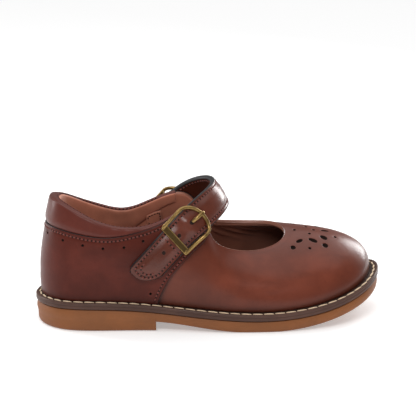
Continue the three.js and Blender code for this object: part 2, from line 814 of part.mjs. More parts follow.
// One band over the instep, both ends down the sides
function strap() {
  const distances = (side) => {
    const total = RULERS[side.name].at(-1).length;
    const list = STRAP_TIP.map((row) => row.back * STRAP_WIDTH);
    const from = list.at(-1);
    for (let i = 1; i <= STRAP_STEPS; i += 1) {
      list.push(from + ((total - from) * i) / STRAP_STEPS);
    }
    return list;
  };
  const outerSide = distances(LATERAL).map((d) => strapSection(LATERAL, d));
  const innerSide = distances(MEDIAL).map((d) => strapSection(MEDIAL, d));
  const sections = [...outerSide, ...innerSide.slice(0, -1).reverse()];
  let solid = toSolid(loft(sections, false));
  for (const side of [LATERAL, MEDIAL]) {
    const keeperAt = KEEPER_AT[side.name];
    for (const distance of HOLES_FROM_KEEPER) {
      solid = solid.subtract(strapHole(side, keeperAt + distance, HOLE_RADIUS, 1));
    }
    const slotAt = keeperAt + BAR_REACH + SLOT_AHEAD;
    solid = solid.subtract(strapHole(side, slotAt, SLOT_RADIUS, SLOT_STRETCH_RATIO));
  }
  return toGeometry(solid);
}

// Rod along a row of points, with a flattened round section: wide across the given direction, thick along it
function rod(points, upAt, wide, thick) {
  const sections = points.map((point, i) => {
    const before = points[Math.max(i - 1, 0)];
    const after = points[Math.min(i + 1, points.length - 1)];
    const along = after.clone().sub(before).normalize();
    const across = along.clone().cross(upAt(i)).normalize();
    const up = across.clone().cross(along);
    const loop = [];
    for (let k = 0; k < ROD_SIDES; k += 1) {
      const turn = ((k + 0.5) / ROD_SIDES) * Math.PI * 2;
      const place = point.clone().addScaledVector(across, (wide / 2) * Math.cos(turn));
      loop.push(place.addScaledVector(up, (thick / 2) * Math.sin(turn)));
    }
    return loop;
  });
  return toSolid(loft(sections, false));
}

// Direction away from the strap's bed
function bedUp(side, distance, across) {
  return bed(side, distance, across, 1).sub(bed(side, distance, across, 0)).normalize();
}

// Half the distance between the middles of the buckle's two rails, and where its curve starts
const FRAME_HALF = STRAP_WIDTH / 2 + FRAME_CLEARANCE + FRAME_WIDE / 2;
const SHOULDER = BUCKLE_REACH - FRAME_HALF * 0.85;

// Rows of the buckle's D from the keeper's one end round to the other: along and across in millimetres
function framePath() {
  const path = [];
  const rail = [0, 0.34, 0.67];
  for (const share of rail) {
    path.push([SHOULDER * share, -FRAME_HALF]);
  }
  for (let i = 0; i <= ARC_STEPS; i += 1) {
    const turn = (i / ARC_STEPS) * Math.PI;
    path.push([SHOULDER + (BUCKLE_REACH - SHOULDER) * Math.sin(turn), -FRAME_HALF * Math.cos(turn)]);
  }
  for (const share of rail.reverse()) {
    path.push([SHOULDER * share, FRAME_HALF]);
  }
  return path;
}

// Height of the D's middle over the strap's bed: over the strap, and over its lift where the curve crosses it
function frameHeight(side, along) {
  const level = STRAP_THICKNESS + GAP + FRAME_THICK / 2;
  const keeperAt = KEEPER_AT[side.name];
  if (along < SHOULDER) {
    return level + (strapLift(side, keeperAt + SHOULDER) * along) / SHOULDER;
  }
  return level + strapLift(side, keeperAt + along);
}

// Flat keeper bar across the strap
function keeper(side) {
  const half = FRAME_HALF + FRAME_WIDE * 0.45;
  const low = STRAP_THICKNESS + GAP;
  const corners = [
    [-KEEPER_WIDE / 2, low],
    [KEEPER_WIDE / 2, low],
    [KEEPER_WIDE / 2, low + KEEPER_THICK],
    [-KEEPER_WIDE / 2, low + KEEPER_THICK],
  ];
  const sections = [];
  for (let i = 0; i <= KEEPER_STEPS; i += 1) {
    const across = ((i / KEEPER_STEPS) * 2 - 1) * half;
    sections.push(corners.map(([along, height]) => bed(side, KEEPER_AT[side.name] + along, across, height)));
  }
  return toSolid(loft(sections, false));
}

// Hidden bar under the strap, with a post up to the rail at each end
function hiddenBar(side) {
  const barAt = KEEPER_AT[side.name] + BAR_REACH;
  const top = frameHeight(side, BAR_REACH);
  const runs = [
    { from: [-FRAME_HALF, top], to: [-FRAME_HALF, 0], steps: 1 },
    { from: [-FRAME_HALF, BAR_RADIUS], to: [FRAME_HALF, BAR_RADIUS], steps: 6 },
    { from: [FRAME_HALF, 0], to: [FRAME_HALF, top], steps: 1 },
  ];
  const along = bed(side, barAt + 1, 0, 0).sub(bed(side, barAt - 1, 0, 0)).normalize();
  return runs.map(({ from, to, steps }) => {
    const points = [];
    for (let k = 0; k <= steps; k += 1) {
      const share = k / steps;
      const across = from[0] + (to[0] - from[0]) * share;
      points.push(bed(side, barAt, across, from[1] + (to[1] - from[1]) * share));
    }
    return rod(points, () => along, BAR_RADIUS * 2, BAR_RADIUS * 2);
  });
}

// Buckle: the D, the flat keeper over the strap and the bar under it
function buckle(side) {
  const path = framePath();
  const keeperAt = KEEPER_AT[side.name];
  const points = path.map(([along, across]) => bed(side, keeperAt + along, across, frameHeight(side, along)));
  const ups = path.map(([along, across]) => bedUp(side, keeperAt + along, across));
  const frame = rod(points, (i) => ups[i], FRAME_WIDE, FRAME_THICK);
  const solid = [keeper(side), ...hiddenBar(side)].reduce((sum, piece) => sum.add(piece), frame);
  return toGeometry(solid);
}

// Prong from over the hidden bar, up through the strap's slot and onto the D
function prong(side) {
  const barAt = KEEPER_AT[side.name] + BAR_REACH;
  const low = BAR_RADIUS * 2 + GAP + PRONG_THICK / 2;
  const top = STRAP_THICKNESS + FRAME_THICK + GAP * 2 + PRONG_THICK / 2;
  const end = BUCKLE_REACH - BAR_REACH;
  const rows = PRONG_RISE.map(({ along, climb }) => [PRONG_THICK * along, low + (top - low) * climb]);
  rows.push([end - FRAME_WIDE * 0.7, top], [end + FRAME_WIDE * 0.6, top]);
  const points = rows.map(([along, height]) => bed(side, barAt + along, 0, height));
  const across = bed(side, barAt, 1, 0).sub(bed(side, barAt, -1, 0)).normalize();
  return toGeometry(rod(points, () => across, PRONG_THICK, PRONG_WIDE));
}

function leather(color) {
  return new THREE.MeshStandardMaterial({ color, roughness: 0.4, metalness: 0 });
}

function rubber(color) {
  return new THREE.MeshStandardMaterial({ color, roughness: 0.7, metalness: 0 });
}

function brass() {
  return new THREE.MeshStandardMaterial({ color: 0xa8873f, roughness: 0.35, metalness: 0.9 });
}

function assemble() {
  const group = new THREE.Group();
  group.name = "mary_jane_shoe";
  const pieces = [
    ["outsole", outsole(), rubber(0x7f5030)],
    ["welt", welt(), rubber(0x594540)],
    ["insole", insole(), leather(0x2d1610)],
    ["upper", upper(), leather(0x74402f)],
    ["quarter", quarter(), leather(0x5f342d)],
    ["collar", collar(), leather(0x63352c)],
    ["strap", strap(), leather(0x68392e)],
    ["buckle_lateral", buckle(LATERAL), brass()],
    ["buckle_medial", buckle(MEDIAL), brass()],
    ["prong_lateral", prong(LATERAL), brass()],
    ["prong_medial", prong(MEDIAL), brass()],
  ];
  const box = new THREE.Box3();
  for (const [name, geometry, material] of pieces) {
    const mesh = new THREE.Mesh(geometry, material);
    mesh.name = name;
    group.add(mesh);
    box.expandByObject(mesh);
  }
  const middle = box.getCenter(new THREE.Vector3());
  group.position.set(-middle.x, -middle.y, -box.min.z);
  return group;
}

export default assemble();
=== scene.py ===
"""Child's mary jane shoe, right foot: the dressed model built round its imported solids."""

import bmesh
import bpy
import numpy as np
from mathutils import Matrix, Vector


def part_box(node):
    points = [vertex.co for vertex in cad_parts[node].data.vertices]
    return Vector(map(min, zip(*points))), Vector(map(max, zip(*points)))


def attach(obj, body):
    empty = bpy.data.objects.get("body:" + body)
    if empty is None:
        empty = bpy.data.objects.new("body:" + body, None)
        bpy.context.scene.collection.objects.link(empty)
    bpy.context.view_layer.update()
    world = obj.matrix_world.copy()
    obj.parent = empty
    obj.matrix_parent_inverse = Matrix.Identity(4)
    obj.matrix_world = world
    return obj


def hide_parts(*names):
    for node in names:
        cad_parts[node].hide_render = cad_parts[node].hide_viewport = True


bl_info = {
    "name": "Mary jane shoe",
    "version": (1, 0, 0),
    "blender": (4, 5, 0),
    "location": "View3D > Sidebar > Shoe",
    "description": "Builds the leather, stitching, buckles and sole of a child's mary jane",
    "category": "Object",
}

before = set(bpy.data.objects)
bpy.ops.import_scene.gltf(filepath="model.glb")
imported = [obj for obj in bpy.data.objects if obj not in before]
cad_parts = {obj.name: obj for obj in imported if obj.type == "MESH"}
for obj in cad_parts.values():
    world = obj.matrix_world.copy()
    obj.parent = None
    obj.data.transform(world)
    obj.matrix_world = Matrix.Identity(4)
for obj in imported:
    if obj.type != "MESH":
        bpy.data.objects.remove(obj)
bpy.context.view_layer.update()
MILLIMETRE = 0.001

# Main sizes of the shoe, in millimetres, as its solids have them
LENGTH = 170.0
BALL_WIDTH = 69.0
HEEL_HEIGHT = 14.4
INSTEP_HEIGHT = 72.0
WELT_THICKNESS = 3.4
WELT_MARGIN = 4.4
GAP = 0.3
WALL = 1.8
QUARTER_THICKNESS = 1.3
COLLAR_DEPTH = 11.5
STRAP_WIDTH = 14.2
STRAP_THICKNESS = 2.4
BAR_RADIUS = 0.6
BAR_REACH = 9.2
LIFT_LENGTH = 3.2
KEEPER_AT = {-1: 25.4, 1: 22.9}
CROWN = {"x": 0.523, "z": 0.858, "tip": 58.0, "handle": 0.15, "spring": 0.14}
OUTER, INNER = -1, 1

# Plan of the welt's edge round from the heel by the outer side: shares of LENGTH and BALL_WIDTH
OUTLINE = {
    "x": [0, 0.036, 0.13, 0.305, 0.479, 0.645, 0.802, 0.944,
          1, 0.952, 0.812, 0.645, 0.479, 0.305, 0.13, 0.036],
    "y": [0, -0.236, -0.358, -0.4, -0.48, -0.526, -0.486, -0.294,
          0.064, 0.315, 0.452, 0.468, 0.392, 0.352, 0.355, 0.236],
}
OUTLINE_COUNT = len(OUTLINE["x"])
# Side view of the sole at nine even stations: shares of HEEL_HEIGHT
SOLE_LINE = {
    "seat": [1, 1.014, 0.965, 0.833, 0.69, 0.62, 0.71, 1.01, 1.555],
    "under": [0.375, 0.375, 0.365, 0.28, 0.065, -0.02, 0.08, 0.39, 0.93],
}
SOLE_SPANS = len(SOLE_LINE["seat"]) - 1
# Ribs of the upper from the heel to the toe: places on the outline, shares of the main sizes, and degrees
RIBS = {
    "foot": [0, 0.9, 1.9, 2.5, 3, 3.4, 3.8, 4.2, 4.6, 5.15, 5.95, 6.95, 8],
    "x": [0.053, 0.074, 0.134, 0.2, 0.27, 0.35, 0.43, 0.478, 0.506, 0.567, 0.637, 0.697, 0.72],
    "outer": [0, -0.175, -0.283, -0.312, -0.316, -0.302, -0.27, -0.272, -0.276, -0.25, -0.19, -0.1, 0.03],
    "inner": [0, 0.17, 0.275, 0.3, 0.305, 0.29, 0.265, 0.27, 0.262, 0.24, 0.21, 0.145, 0.03],
    "outer_top": [0.832, 0.818, 0.752, 0.69, 0.672, 0.722, 0.798, 0.705, 0.575, 0.508, 0.492, 0.52, 0.565],
    "inner_top": [0.832, 0.818, 0.752, 0.695, 0.67, 0.744, 0.802, 0.715, 0.62, 0.6, 0.6, 0.6, 0.565],
    "rise": [0.21, 0.21, 0.2, 0.2, 0.19, 0.2, 0.21, 0.19, 0.16, 0.15, 0.15, 0.18, 0.22],
    "lean": [7, 7, 7, 6, 6, 6, 6, 6, 7, 8, 9, 7, 4],
    "reach": [0.25, 0.25, 0.21, 0.2, 0.2, 0.22, 0.26, 0.2, 0.16, 0.16, 0.2, 0.28, 0.33],
    "dip": [78, 79, 80, 80, 78, 74, 68, 64, 58, 46, 30, 12, -2],
    "bare": [1, 0.93, 0.66, 0.36, 0.1, 0.06, 0.06, 0.06, 0.06, 0.06, 0.06, 0.06, 0.06],
}
# Front edge of the quarter and middle of the strap in side view: shares of LENGTH and INSTEP_HEIGHT
QUARTER_FRONT = {
    "x": [0.332, 0.337, 0.352, 0.37, 0.399, 0.43, 0.457, 0.477, 0.488, 0.49, 0.49],
    "z": [0.1, 0.207, 0.296, 0.374, 0.458, 0.534, 0.588, 0.635, 0.72, 0.9, 1.2],
}
STRAP_PATH = {"x": [0.284, 0.337, 0.389, 0.44], "z": [0.37, 0.496, 0.618, 0.73]}
STRAP_TIP = {
    "back": [0, 0.05, 0.12, 0.24, 0.4, 0.62],
    "rear": [0.8, 0.93, 0.98, 1, 1, 1],
    "front": [-0.1, 0.16, 0.38, 0.62, 0.84, 1],
}


def unit(vectors):
    """Each vector over its own length."""
    return vectors / np.linalg.norm(vectors, axis=-1, keepdims=True)


def spline(values, closed):
    """Cubic curve through evenly spaced values whose slope and bend run on from span to span."""
    values = np.asarray(values, float)
    count = len(values)
    bend = 0 * values
    span = range(count) if closed else range(1, count - 1)
    for _ in range(60):
        for i in span:
            before, after = (i - 1) % count, (i + 1) % count
            turn = 6 * (values[before] - 2 * values[i] + values[after])
            bend[i] = (turn - bend[before] - bend[after]) / 4

    def curve(at):
        at = np.asarray(at, float)
        cell = np.floor(at).astype(int)
        if not closed:
            cell = np.clip(cell, 0, count - 2)
        i = cell % count
        j = (i + 1) % count
        b = (at - cell).reshape(at.shape + (1,) * (values.ndim - 1))
        a = 1 - b
        straight = a * values[i] + b * values[j]
        return straight + ((a**3 - a) * bend[i] + (b**3 - b) * bend[j]) / 6

    return curve


def columns(table, closed):
    """One curve for each column of a table."""
    return {name: spline(values, closed) for name, values in table.items()}


def ring_table():
    """The ribs laid round the shoe: down the outer side to the toe and back along the inner side."""
    last = len(RIBS["x"]) - 1
    back = slice(last - 1, 0, -1)
    ring = {}
    for name in ("x", "rise", "lean", "reach", "dip", "bare"):
        ring[name] = RIBS[name] + RIBS[name][back]
    ring["y"] = RIBS["outer"] + RIBS["inner"][back]
    ring["z"] = RIBS["outer_top"] + RIBS["inner_top"][back]
    places = RIBS["foot"] + [OUTLINE_COUNT - foot for foot in RIBS["foot"][back]]
    pace = OUTLINE_COUNT / len(places)
    ring["foot"] = [place - i * pace for i, place in enumerate(places)]
    return ring, pace


OUTLINE_CURVE = columns(OUTLINE, True)
SOLE_CURVE = columns(SOLE_LINE, False)
RING, FOOT_PACE = ring_table()
RING_COUNT = len(RING["x"])
TOE_RIB = RING_COUNT / 2
STRAP_RIB = 5.5
RIB_CURVE = columns(RING, True)


def outline(place, inset=0.0):
    """Point of the sole's plan moved in along its own normal, and that normal."""
    def at(p):
        return np.stack([OUTLINE_CURVE["x"](p) * LENGTH, OUTLINE_CURVE["y"](p) * BALL_WIDTH], -1)

    place = np.asarray(place, float)
    along = at(place + 0.01) - at(place - 0.01)
    out = unit(np.stack([along[..., 1], -along[..., 0], 0 * place], -1))
    point = np.concatenate([at(place), 0 * place[..., None]], -1)
    return point - out * np.asarray(inset)[..., None], out


def seat_height(x):
    """Height of the welt's top at a place along the shoe."""
    return SOLE_CURVE["seat"](x / LENGTH * SOLE_SPANS) * HEEL_HEIGHT


def underside_height(x):
    """Height of the sole's underside in front of the heel."""
    return np.maximum(0, SOLE_CURVE["under"](x / LENGTH * SOLE_SPANS) * HEEL_HEIGHT)


def top_point(s):
    """Point of the upper's top line."""
    sizes = {"x": LENGTH, "y": BALL_WIDTH, "z": INSTEP_HEIGHT}
    return np.stack([RIB_CURVE[name](s) * size for name, size in sizes.items()], -1)


def rib(s):
    """Four points of a rib: on the welt, its lower handle, its upper handle, on the top line."""
    s = np.asarray(s, float)
    foot, out = outline(RIB_CURVE["foot"](s) + s * FOOT_PACE, WELT_MARGIN)
    foot[..., 2] = seat_height(foot[..., 0]) + GAP
    top = top_point(s)
    along = top_point(s + 0.05) - top_point(s - 0.05)
    top_out = unit(np.stack([along[..., 1], -along[..., 0], 0 * s], -1))
    up = np.array([0.0, 0.0, 1.0])
    lean, dip = np.radians(RIB_CURVE["lean"](s))[..., None], np.radians(RIB_CURVE["dip"](s))[..., None]
    rise = (RIB_CURVE["rise"](s) * INSTEP_HEIGHT)[..., None]
    reach = (RIB_CURVE["reach"](s) * INSTEP_HEIGHT)[..., None]
    low = foot + up * rise * np.cos(lean) + out * rise * np.sin(lean)
    high = top - up * reach * np.sin(dip) + top_out * reach * np.cos(dip)
    return foot, low, high, top


def skin(s, t):
    """Point on the upper's face: the cubic of a rib's four points, s round the shoe, t up from the welt."""
    a, b, c, d = rib(s)
    t = np.asarray(t, float)[..., None]
    r = 1 - t
    return a * r**3 + 3 * b * r * r * t + 3 * c * r * t * t + d * t**3


def skin_normal(s, t):
    """Outward direction of the upper's face: its slope up crossed with its slope round."""
    across = skin(s + 0.02, t) - skin(s - 0.02, t)
    up = skin(s, t + 0.01) - skin(s, t - 0.01)
    return unit(np.cross(across, up))


def skin_offset(s, t, offset):
    """Point off the upper's face; at the welt it keeps its clearance over the welt's top."""
    s, t = np.broadcast_arrays(np.asarray(s, float), np.asarray(t, float))
    point = skin(s, t) + skin_normal(s, t) * np.asarray(offset)[..., None]
    foot = seat_height(point[..., 0]) + GAP
    point[..., 2] = np.where(t <= 0, foot, point[..., 2])
    return point


def top_speed(s):
    """Millimetres of a rib's upper end per unit of t."""
    return np.linalg.norm(skin(s, 1.0) - skin(s, 0.9), axis=-1) / 0.1


def settle(target, s, t, measure, turns=9):
    """Places on the upper's face whose measured pair meets a target, by Newton's steps of limited length."""
    step, most_s, most_t = 0.002, 1.0, 0.3
    for _ in range(turns):
        here = measure(skin(s, t))
        by_s = (measure(skin(s + step, t)) - here) / step
        by_t = (measure(skin(s, t + step)) - here) / step
        miss = target - here
        area = by_s[..., 0] * by_t[..., 1] - by_s[..., 1] * by_t[..., 0]
        move_s = (miss[..., 0] * by_t[..., 1] - miss[..., 1] * by_t[..., 0]) / area
        move_t = (by_s[..., 0] * miss[..., 1] - by_s[..., 1] * miss[..., 0]) / area
        s = s + np.clip(move_s, -most_s, most_s)
        t = t + np.clip(move_t, -most_t, most_t)
    return s, t


def side_view(point):
    """A point's place in side view."""
    return point[..., [0, 2]]


def plan_view(point):
    """A point's place seen from above."""
    return point[..., :2]


def on_side(side, s):
    """A place on the outer half of the ring, or its counterpart on the inner half."""
    return s if side == OUTER else RING_COUNT - s


def place_in_side_view(side, x, z):
    """Places on the upper's face with a given x and z on one side of the shoe."""
    x, z = np.broadcast_arrays(np.asarray(x, float), np.asarray(z, float))
    start = np.full(x.shape, on_side(side, STRAP_RIB))
    return settle(np.stack([x, z], -1), start, np.full(x.shape, 0.6), side_view)


def place_in_plan(x, y):
    """Place on the vamp with a given x and y, seen from above."""
    start = np.asarray(TOE_RIB + np.clip(y / 12, -2, 2))
    return settle(np.array([x, y]), start, np.asarray(0.75), plan_view)


STRAP_CURVE = columns(STRAP_PATH, False)
STRAP_LAST = len(STRAP_PATH["x"]) - 1


def wall_bed(side, place, across, height):
    """Point of the strap's bed where it lies on the wall."""
    def at(p):
        return np.stack([STRAP_CURVE["x"](p) * LENGTH, STRAP_CURVE["z"](p) * INSTEP_HEIGHT], -1)

    place, across, height = np.broadcast_arrays(place, across, height)
    along = unit(at(place + 0.01) - at(place - 0.01))
    middle = at(place)
    x = middle[..., 0] + along[..., 1] * across
    z = middle[..., 1] - along[..., 0] * across
    s, t = place_in_side_view(side, x, z)
    return skin(s, t) + skin_normal(s, t) * (QUARTER_THICKNESS + GAP * 2 + height)[..., None]


def bridge_bed(side, share, across):
    """Point of the strap's bed from the wall, share 0, to its crown over the instep, share 1."""
    share, across = np.broadcast_arrays(np.asarray(share, float), np.asarray(across, float))
    flat = across.ravel()
    levels, back = np.unique(flat, return_inverse=True)
    foot = wall_bed(side, STRAP_LAST, levels, 0.0)
    leave = unit(foot - wall_bed(side, STRAP_LAST - 0.05, levels, 0.0))
    start = foot[back].reshape(across.shape + (3,))
    leave = leave[back].reshape(across.shape + (3,))
    tip = np.radians(CROWN["tip"])
    zero = 0 * across
    crown = np.stack([
        CROWN["x"] * LENGTH + across * np.cos(tip),
        zero,
        CROWN["z"] * INSTEP_HEIGHT - across * np.sin(tip),
    ], -1)
    low = start + leave * CROWN["spring"] * INSTEP_HEIGHT
    high = crown + np.array([0, side * CROWN["handle"] * INSTEP_HEIGHT, 0])
    q = share[..., None]
    r = 1 - q
    return start * r**3 + 3 * low * r * r * q + 3 * high * r * q * q + crown * q**3


def strap_ruler(side, steps=60):
    """Places along the strap's middle line and their distances up from its tip."""
    wall = np.linspace(0, STRAP_LAST, steps + 1)
    bridge = np.linspace(0, 1, steps + 1)[1:]
    points = np.concatenate([wall_bed(side, wall, 0.0, 0.0), bridge_bed(side, bridge, 0.0)])
    gaps = np.linalg.norm(np.diff(points, axis=0), axis=1)
    return np.concatenate([wall, STRAP_LAST + bridge]), np.concatenate([[0], np.cumsum(gaps)])


RULERS = {side: strap_ruler(side) for side in (OUTER, INNER)}


def strap_lift(side, distance):
    """How far the strap is lifted over the buckle's hidden bar: one soft bump."""
    off = (distance - KEEPER_AT[side] - BAR_REACH) / LIFT_LENGTH
    return (BAR_RADIUS * 2 + GAP * 2) * np.exp(-off * off)


def bed(side, distance, across, height):
    """Point of the strap's bed at a distance up from its tip, across from its middle, above its face."""
    distance, across, height = np.broadcast_arrays(
        np.asarray(distance, float), np.asarray(across, float), np.asarray(height, float))
    places, lengths = RULERS[side]
    place = np.interp(distance, lengths, places)
    place = np.where(distance < 0, distance / lengths[1] * places[1], place)
    points = np.empty(place.shape + (3,))
    on_wall = place <= STRAP_LAST
    points[on_wall] = wall_bed(side, place[on_wall], across[on_wall], height[on_wall])
    if on_wall.all():
        return points
    share, over = place[~on_wall] - STRAP_LAST, across[~on_wall]
    ahead = bridge_bed(side, np.minimum(share + 0.01, 1), over) - bridge_bed(side, share - 0.01, over)
    sideways = bridge_bed(side, share, over + 0.5) - bridge_bed(side, share, over - 0.5)
    out = unit(np.cross(sideways, ahead) * -side)
    points[~on_wall] = bridge_bed(side, share, over) + out * height[~on_wall][..., None]
    return points


def strap_reach(distance):
    """How far the strap reaches to the rear and to the front of its middle at a distance from its tip."""
    share = np.asarray(distance, float) / STRAP_WIDTH
    rear = np.interp(share, STRAP_TIP["back"], STRAP_TIP["rear"]) * -STRAP_WIDTH / 2
    front = np.interp(share, STRAP_TIP["back"], STRAP_TIP["front"]) * STRAP_WIDTH / 2
    return rear, front


# The frame's millimetres run from the middle of the welt; the tables run from its heel end and centre line
WELT_EDGE_LINE = outline(np.linspace(0, OUTLINE_COUNT, 73))[0]
WELT_CORNER = np.array([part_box("welt")[0].x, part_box("welt")[0].y, 0.0]) / MILLIMETRE
SHIFT = WELT_CORNER - [WELT_EDGE_LINE[:, 0].min(), WELT_EDGE_LINE[:, 1].min(), 0.0]


class Surface:
    """Points in millimetres, four-cornered faces, a finish for each face and named values for each point."""

    def __init__(self, points, quads, finish=0, values=None):
        self.points = points.reshape(-1, 3)
        self.quads = quads.reshape(-1, 4)
        self.finish = np.broadcast_to(finish, len(self.quads))
        self.values = {}
        for name, value in (values or {}).items():
            self.values[name] = np.broadcast_to(value, points.shape[:-1]).ravel()

    def volume(self):
        """Six times the space that the faces close in, negative where they look inwards."""
        a, b, c, d = (self.points[self.quads[:, k]] for k in range(4))
        return np.einsum("ij,ij->i", a, np.cross(b, c) + np.cross(c, d)).sum()

    def turned(self):
        """Turns every face over."""
        self.quads = self.quads[:, ::-1]
        return self

    def facing(self, direction, face=0):
        """Turns the faces so that one of them looks along a direction."""
        a, b, c = (self.points[self.quads[face, k]] for k in range(3))
        return self.turned() if np.cross(b - a, c - a) @ direction < 0 else self

    def outward(self):
        """Turns a closed surface's faces out."""
        return self.turned() if self.volume() < 0 else self


def grid(points, closed_rows=False, closed_columns=False, finish=0, keep=None, **values):
    """Faces between the neighbours of a grid of points, which may close on itself along either way."""
    n, m = points.shape[:2]
    i = np.arange(n if closed_rows else n - 1)[:, None]
    j = np.arange(m if closed_columns else m - 1)[None]
    after_i, after_j = (i + 1) % n, (j + 1) % m
    quads = np.stack([i * m + j, after_i * m + j, after_i * m + after_j, i * m + after_j], -1)
    finish = np.broadcast_to(finish, quads.shape[:2])
    if keep is not None:
        quads, finish = quads[keep], finish[keep]
    return Surface(points, quads, finish.ravel(), values)


def put_piece(name, surfaces, finishes, replaces=()):
    """One object from several surfaces, in metres in the frame, on the one body; coinciding points merge."""
    starts = np.cumsum([0] + [len(surface.points) for surface in surfaces])
    points = (np.concatenate([surface.points for surface in surfaces]) + SHIFT) * MILLIMETRE
    quads = np.concatenate([surface.quads + start for surface, start in zip(surfaces, starts)])
    mesh = bpy.data.meshes.new(name)
    mesh.vertices.add(len(points))
    mesh.vertices.foreach_set("co", points.ravel())
    mesh.loops.add(quads.size)
    mesh.loops.foreach_set("vertex_index", quads.ravel())
    mesh.polygons.add(len(quads))
    mesh.polygons.foreach_set("loop_start", np.arange(0, quads.size, 4))
    finish = np.concatenate([surface.finish for surface in surfaces])
    mesh.polygons.foreach_set("material_index", finish.astype(np.int32))
    mesh.update(calc_edges=True)
    for key in sorted({key for surface in surfaces for key in surface.values}):
        value = [surface.values.get(key, np.zeros(len(surface.points))) for surface in surfaces]
        attribute = mesh.attributes.new(key, "FLOAT", "POINT")
        attribute.data.foreach_set("value", np.concatenate(value).astype(np.float32))
    work = bmesh.new()
    work.from_mesh(mesh)
    bmesh.ops.remove_doubles(work, verts=work.verts, dist=1e-6)
    work.to_mesh(mesh)
    work.free()
    mesh.polygons.foreach_set("use_smooth", np.ones(len(mesh.polygons), bool))
    mesh.validate()
    for material in finishes:
        mesh.materials.append(material)
    piece = bpy.data.objects.new(name, mesh)
    bpy.context.scene.collection.objects.link(piece)
    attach(piece, "root")
    if replaces:
        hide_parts(*replaces)
    return piece


def soft_step(value, low, high):
    """Smooth step: 0 below low, 1 above high, 3q squared less 2q cubed between."""
    q = np.clip((value - low) / (high - low), 0, 1)
    return q * q * (3 - 2 * q)


def bell(value, width):
    """Bell curve of unit height."""
    return np.exp(-((value / width) ** 2))


def even_line(points, pitch, closed=False):
    """Points along a line at even distances near a pitch, their directions and shares of its length."""
    if closed:
        points = np.concatenate([points, points[:1]])
    lengths = np.concatenate([[0], np.cumsum(np.linalg.norm(np.diff(points, axis=0), axis=1))])
    count = max(2, int(round(lengths[-1] / pitch)))
    at = (np.arange(count) + 0.5) * lengths[-1] / count

    def pick(distance):
        return np.stack([np.interp(distance, lengths, column) for column in points.T], -1)

    return pick(at), unit(pick(at + 0.05) - pick(at - 0.05)), at / lengths[-1]


def beads(middles, along, up, length, width, height, finish=0, sides=7, rows=5):
    """Small closed beads, one at each middle: rings of width sin^0.7 a at places -cos a along it."""
    across = unit(np.cross(up, along))
    up = np.cross(along, across)
    tilt = np.linspace(0, np.pi, rows + 1)[:, None]
    turn = np.arange(sides) / sides * 2 * np.pi
    girth = np.sin(tilt) ** 0.7
    shape = [-np.cos(tilt) * length / 2, girth * np.cos(turn) * width / 2, girth * np.sin(turn) * height / 2]
    one = grid(np.stack(np.broadcast_arrays(*shape), -1), closed_columns=True).outward()
    frames = np.stack([along, across, up], 1)
    points = middles[:, None, :] + np.einsum("vk,nkc->nvc", one.points, frames)
    step = np.arange(len(middles))[:, None, None] * len(one.points)
    return Surface(points, one.quads[None] + step, finish)


def rounded(count, degrees):
    """Rows of a rod closed at both ends: the row each takes after, its share of the girth, its reach beyond.

    The ends are quarter circles: cos a of the girth at sin a beyond.
    """
    close = np.radians(degrees)
    row = np.concatenate([np.zeros(len(close), int), np.arange(count), np.full(len(close), count - 1)])
    girth = np.concatenate([np.cos(close), np.ones(count), np.cos(close[::-1])])
    beyond = np.concatenate([-np.sin(close), np.zeros(count), np.sin(close[::-1])])
    return row, girth, beyond


def tube(points, ups, wide, thick, sides=14, finish=0):
    """Rod along a row of points with rounded ends; its section is the oval (wide cos a, thick sin a) / 2."""
    along = unit(np.gradient(points, axis=0))
    across = unit(np.cross(along, ups))
    up = np.cross(across, along)
    wide = np.broadcast_to(wide, len(points)).astype(float)
    thick = np.broadcast_to(thick, len(points)).astype(float)
    row, girth, beyond = rounded(len(points), [90, 68, 45, 22])
    reach = np.minimum(wide, thick) / 2
    middle = points[row] + along[row] * (reach[row] * beyond)[:, None]
    turn = np.arange(sides) / sides * 2 * np.pi
    side = across[row][:, None] * (np.cos(turn) * wide[row][:, None] / 2)[..., None]
    rise = up[row][:, None] * (np.sin(turn) * thick[row][:, None] / 2)[..., None]
    loops = middle[:, None] + (side + rise) * girth[:, None, None]
    return grid(loops, closed_columns=True, finish=finish).outward()


class Value:
    """A socket of a material; arithmetic on it adds Math nodes."""

    def __init__(self, finish, socket):
        self.finish = finish
        self.socket = socket

    def math(self, operation, *values):
        node = self.finish.node("ShaderNodeMath", {"operation": operation}, dict(enumerate(values)))
        return Value(self.finish, node.outputs[0])

    def __add__(self, other):
        return self.math("ADD", self, other)

    def __sub__(self, other):
        return self.math("SUBTRACT", self, other)

    def __rsub__(self, other):
        return self.math("SUBTRACT", other, self)

    def __mul__(self, other):
        return self.math("MULTIPLY", self, other)

    __radd__ = __add__
    __rmul__ = __mul__

    def ramp(self, low, high):
        """The value carried from a range to 0 to 1 by a smooth step, and held at its ends."""
        sockets = {0: self, 1: low, 2: high}
        node = self.finish.node("ShaderNodeMapRange", {"interpolation_type": "SMOOTHSTEP"}, sockets)
        return Value(self.finish, node.outputs[0])


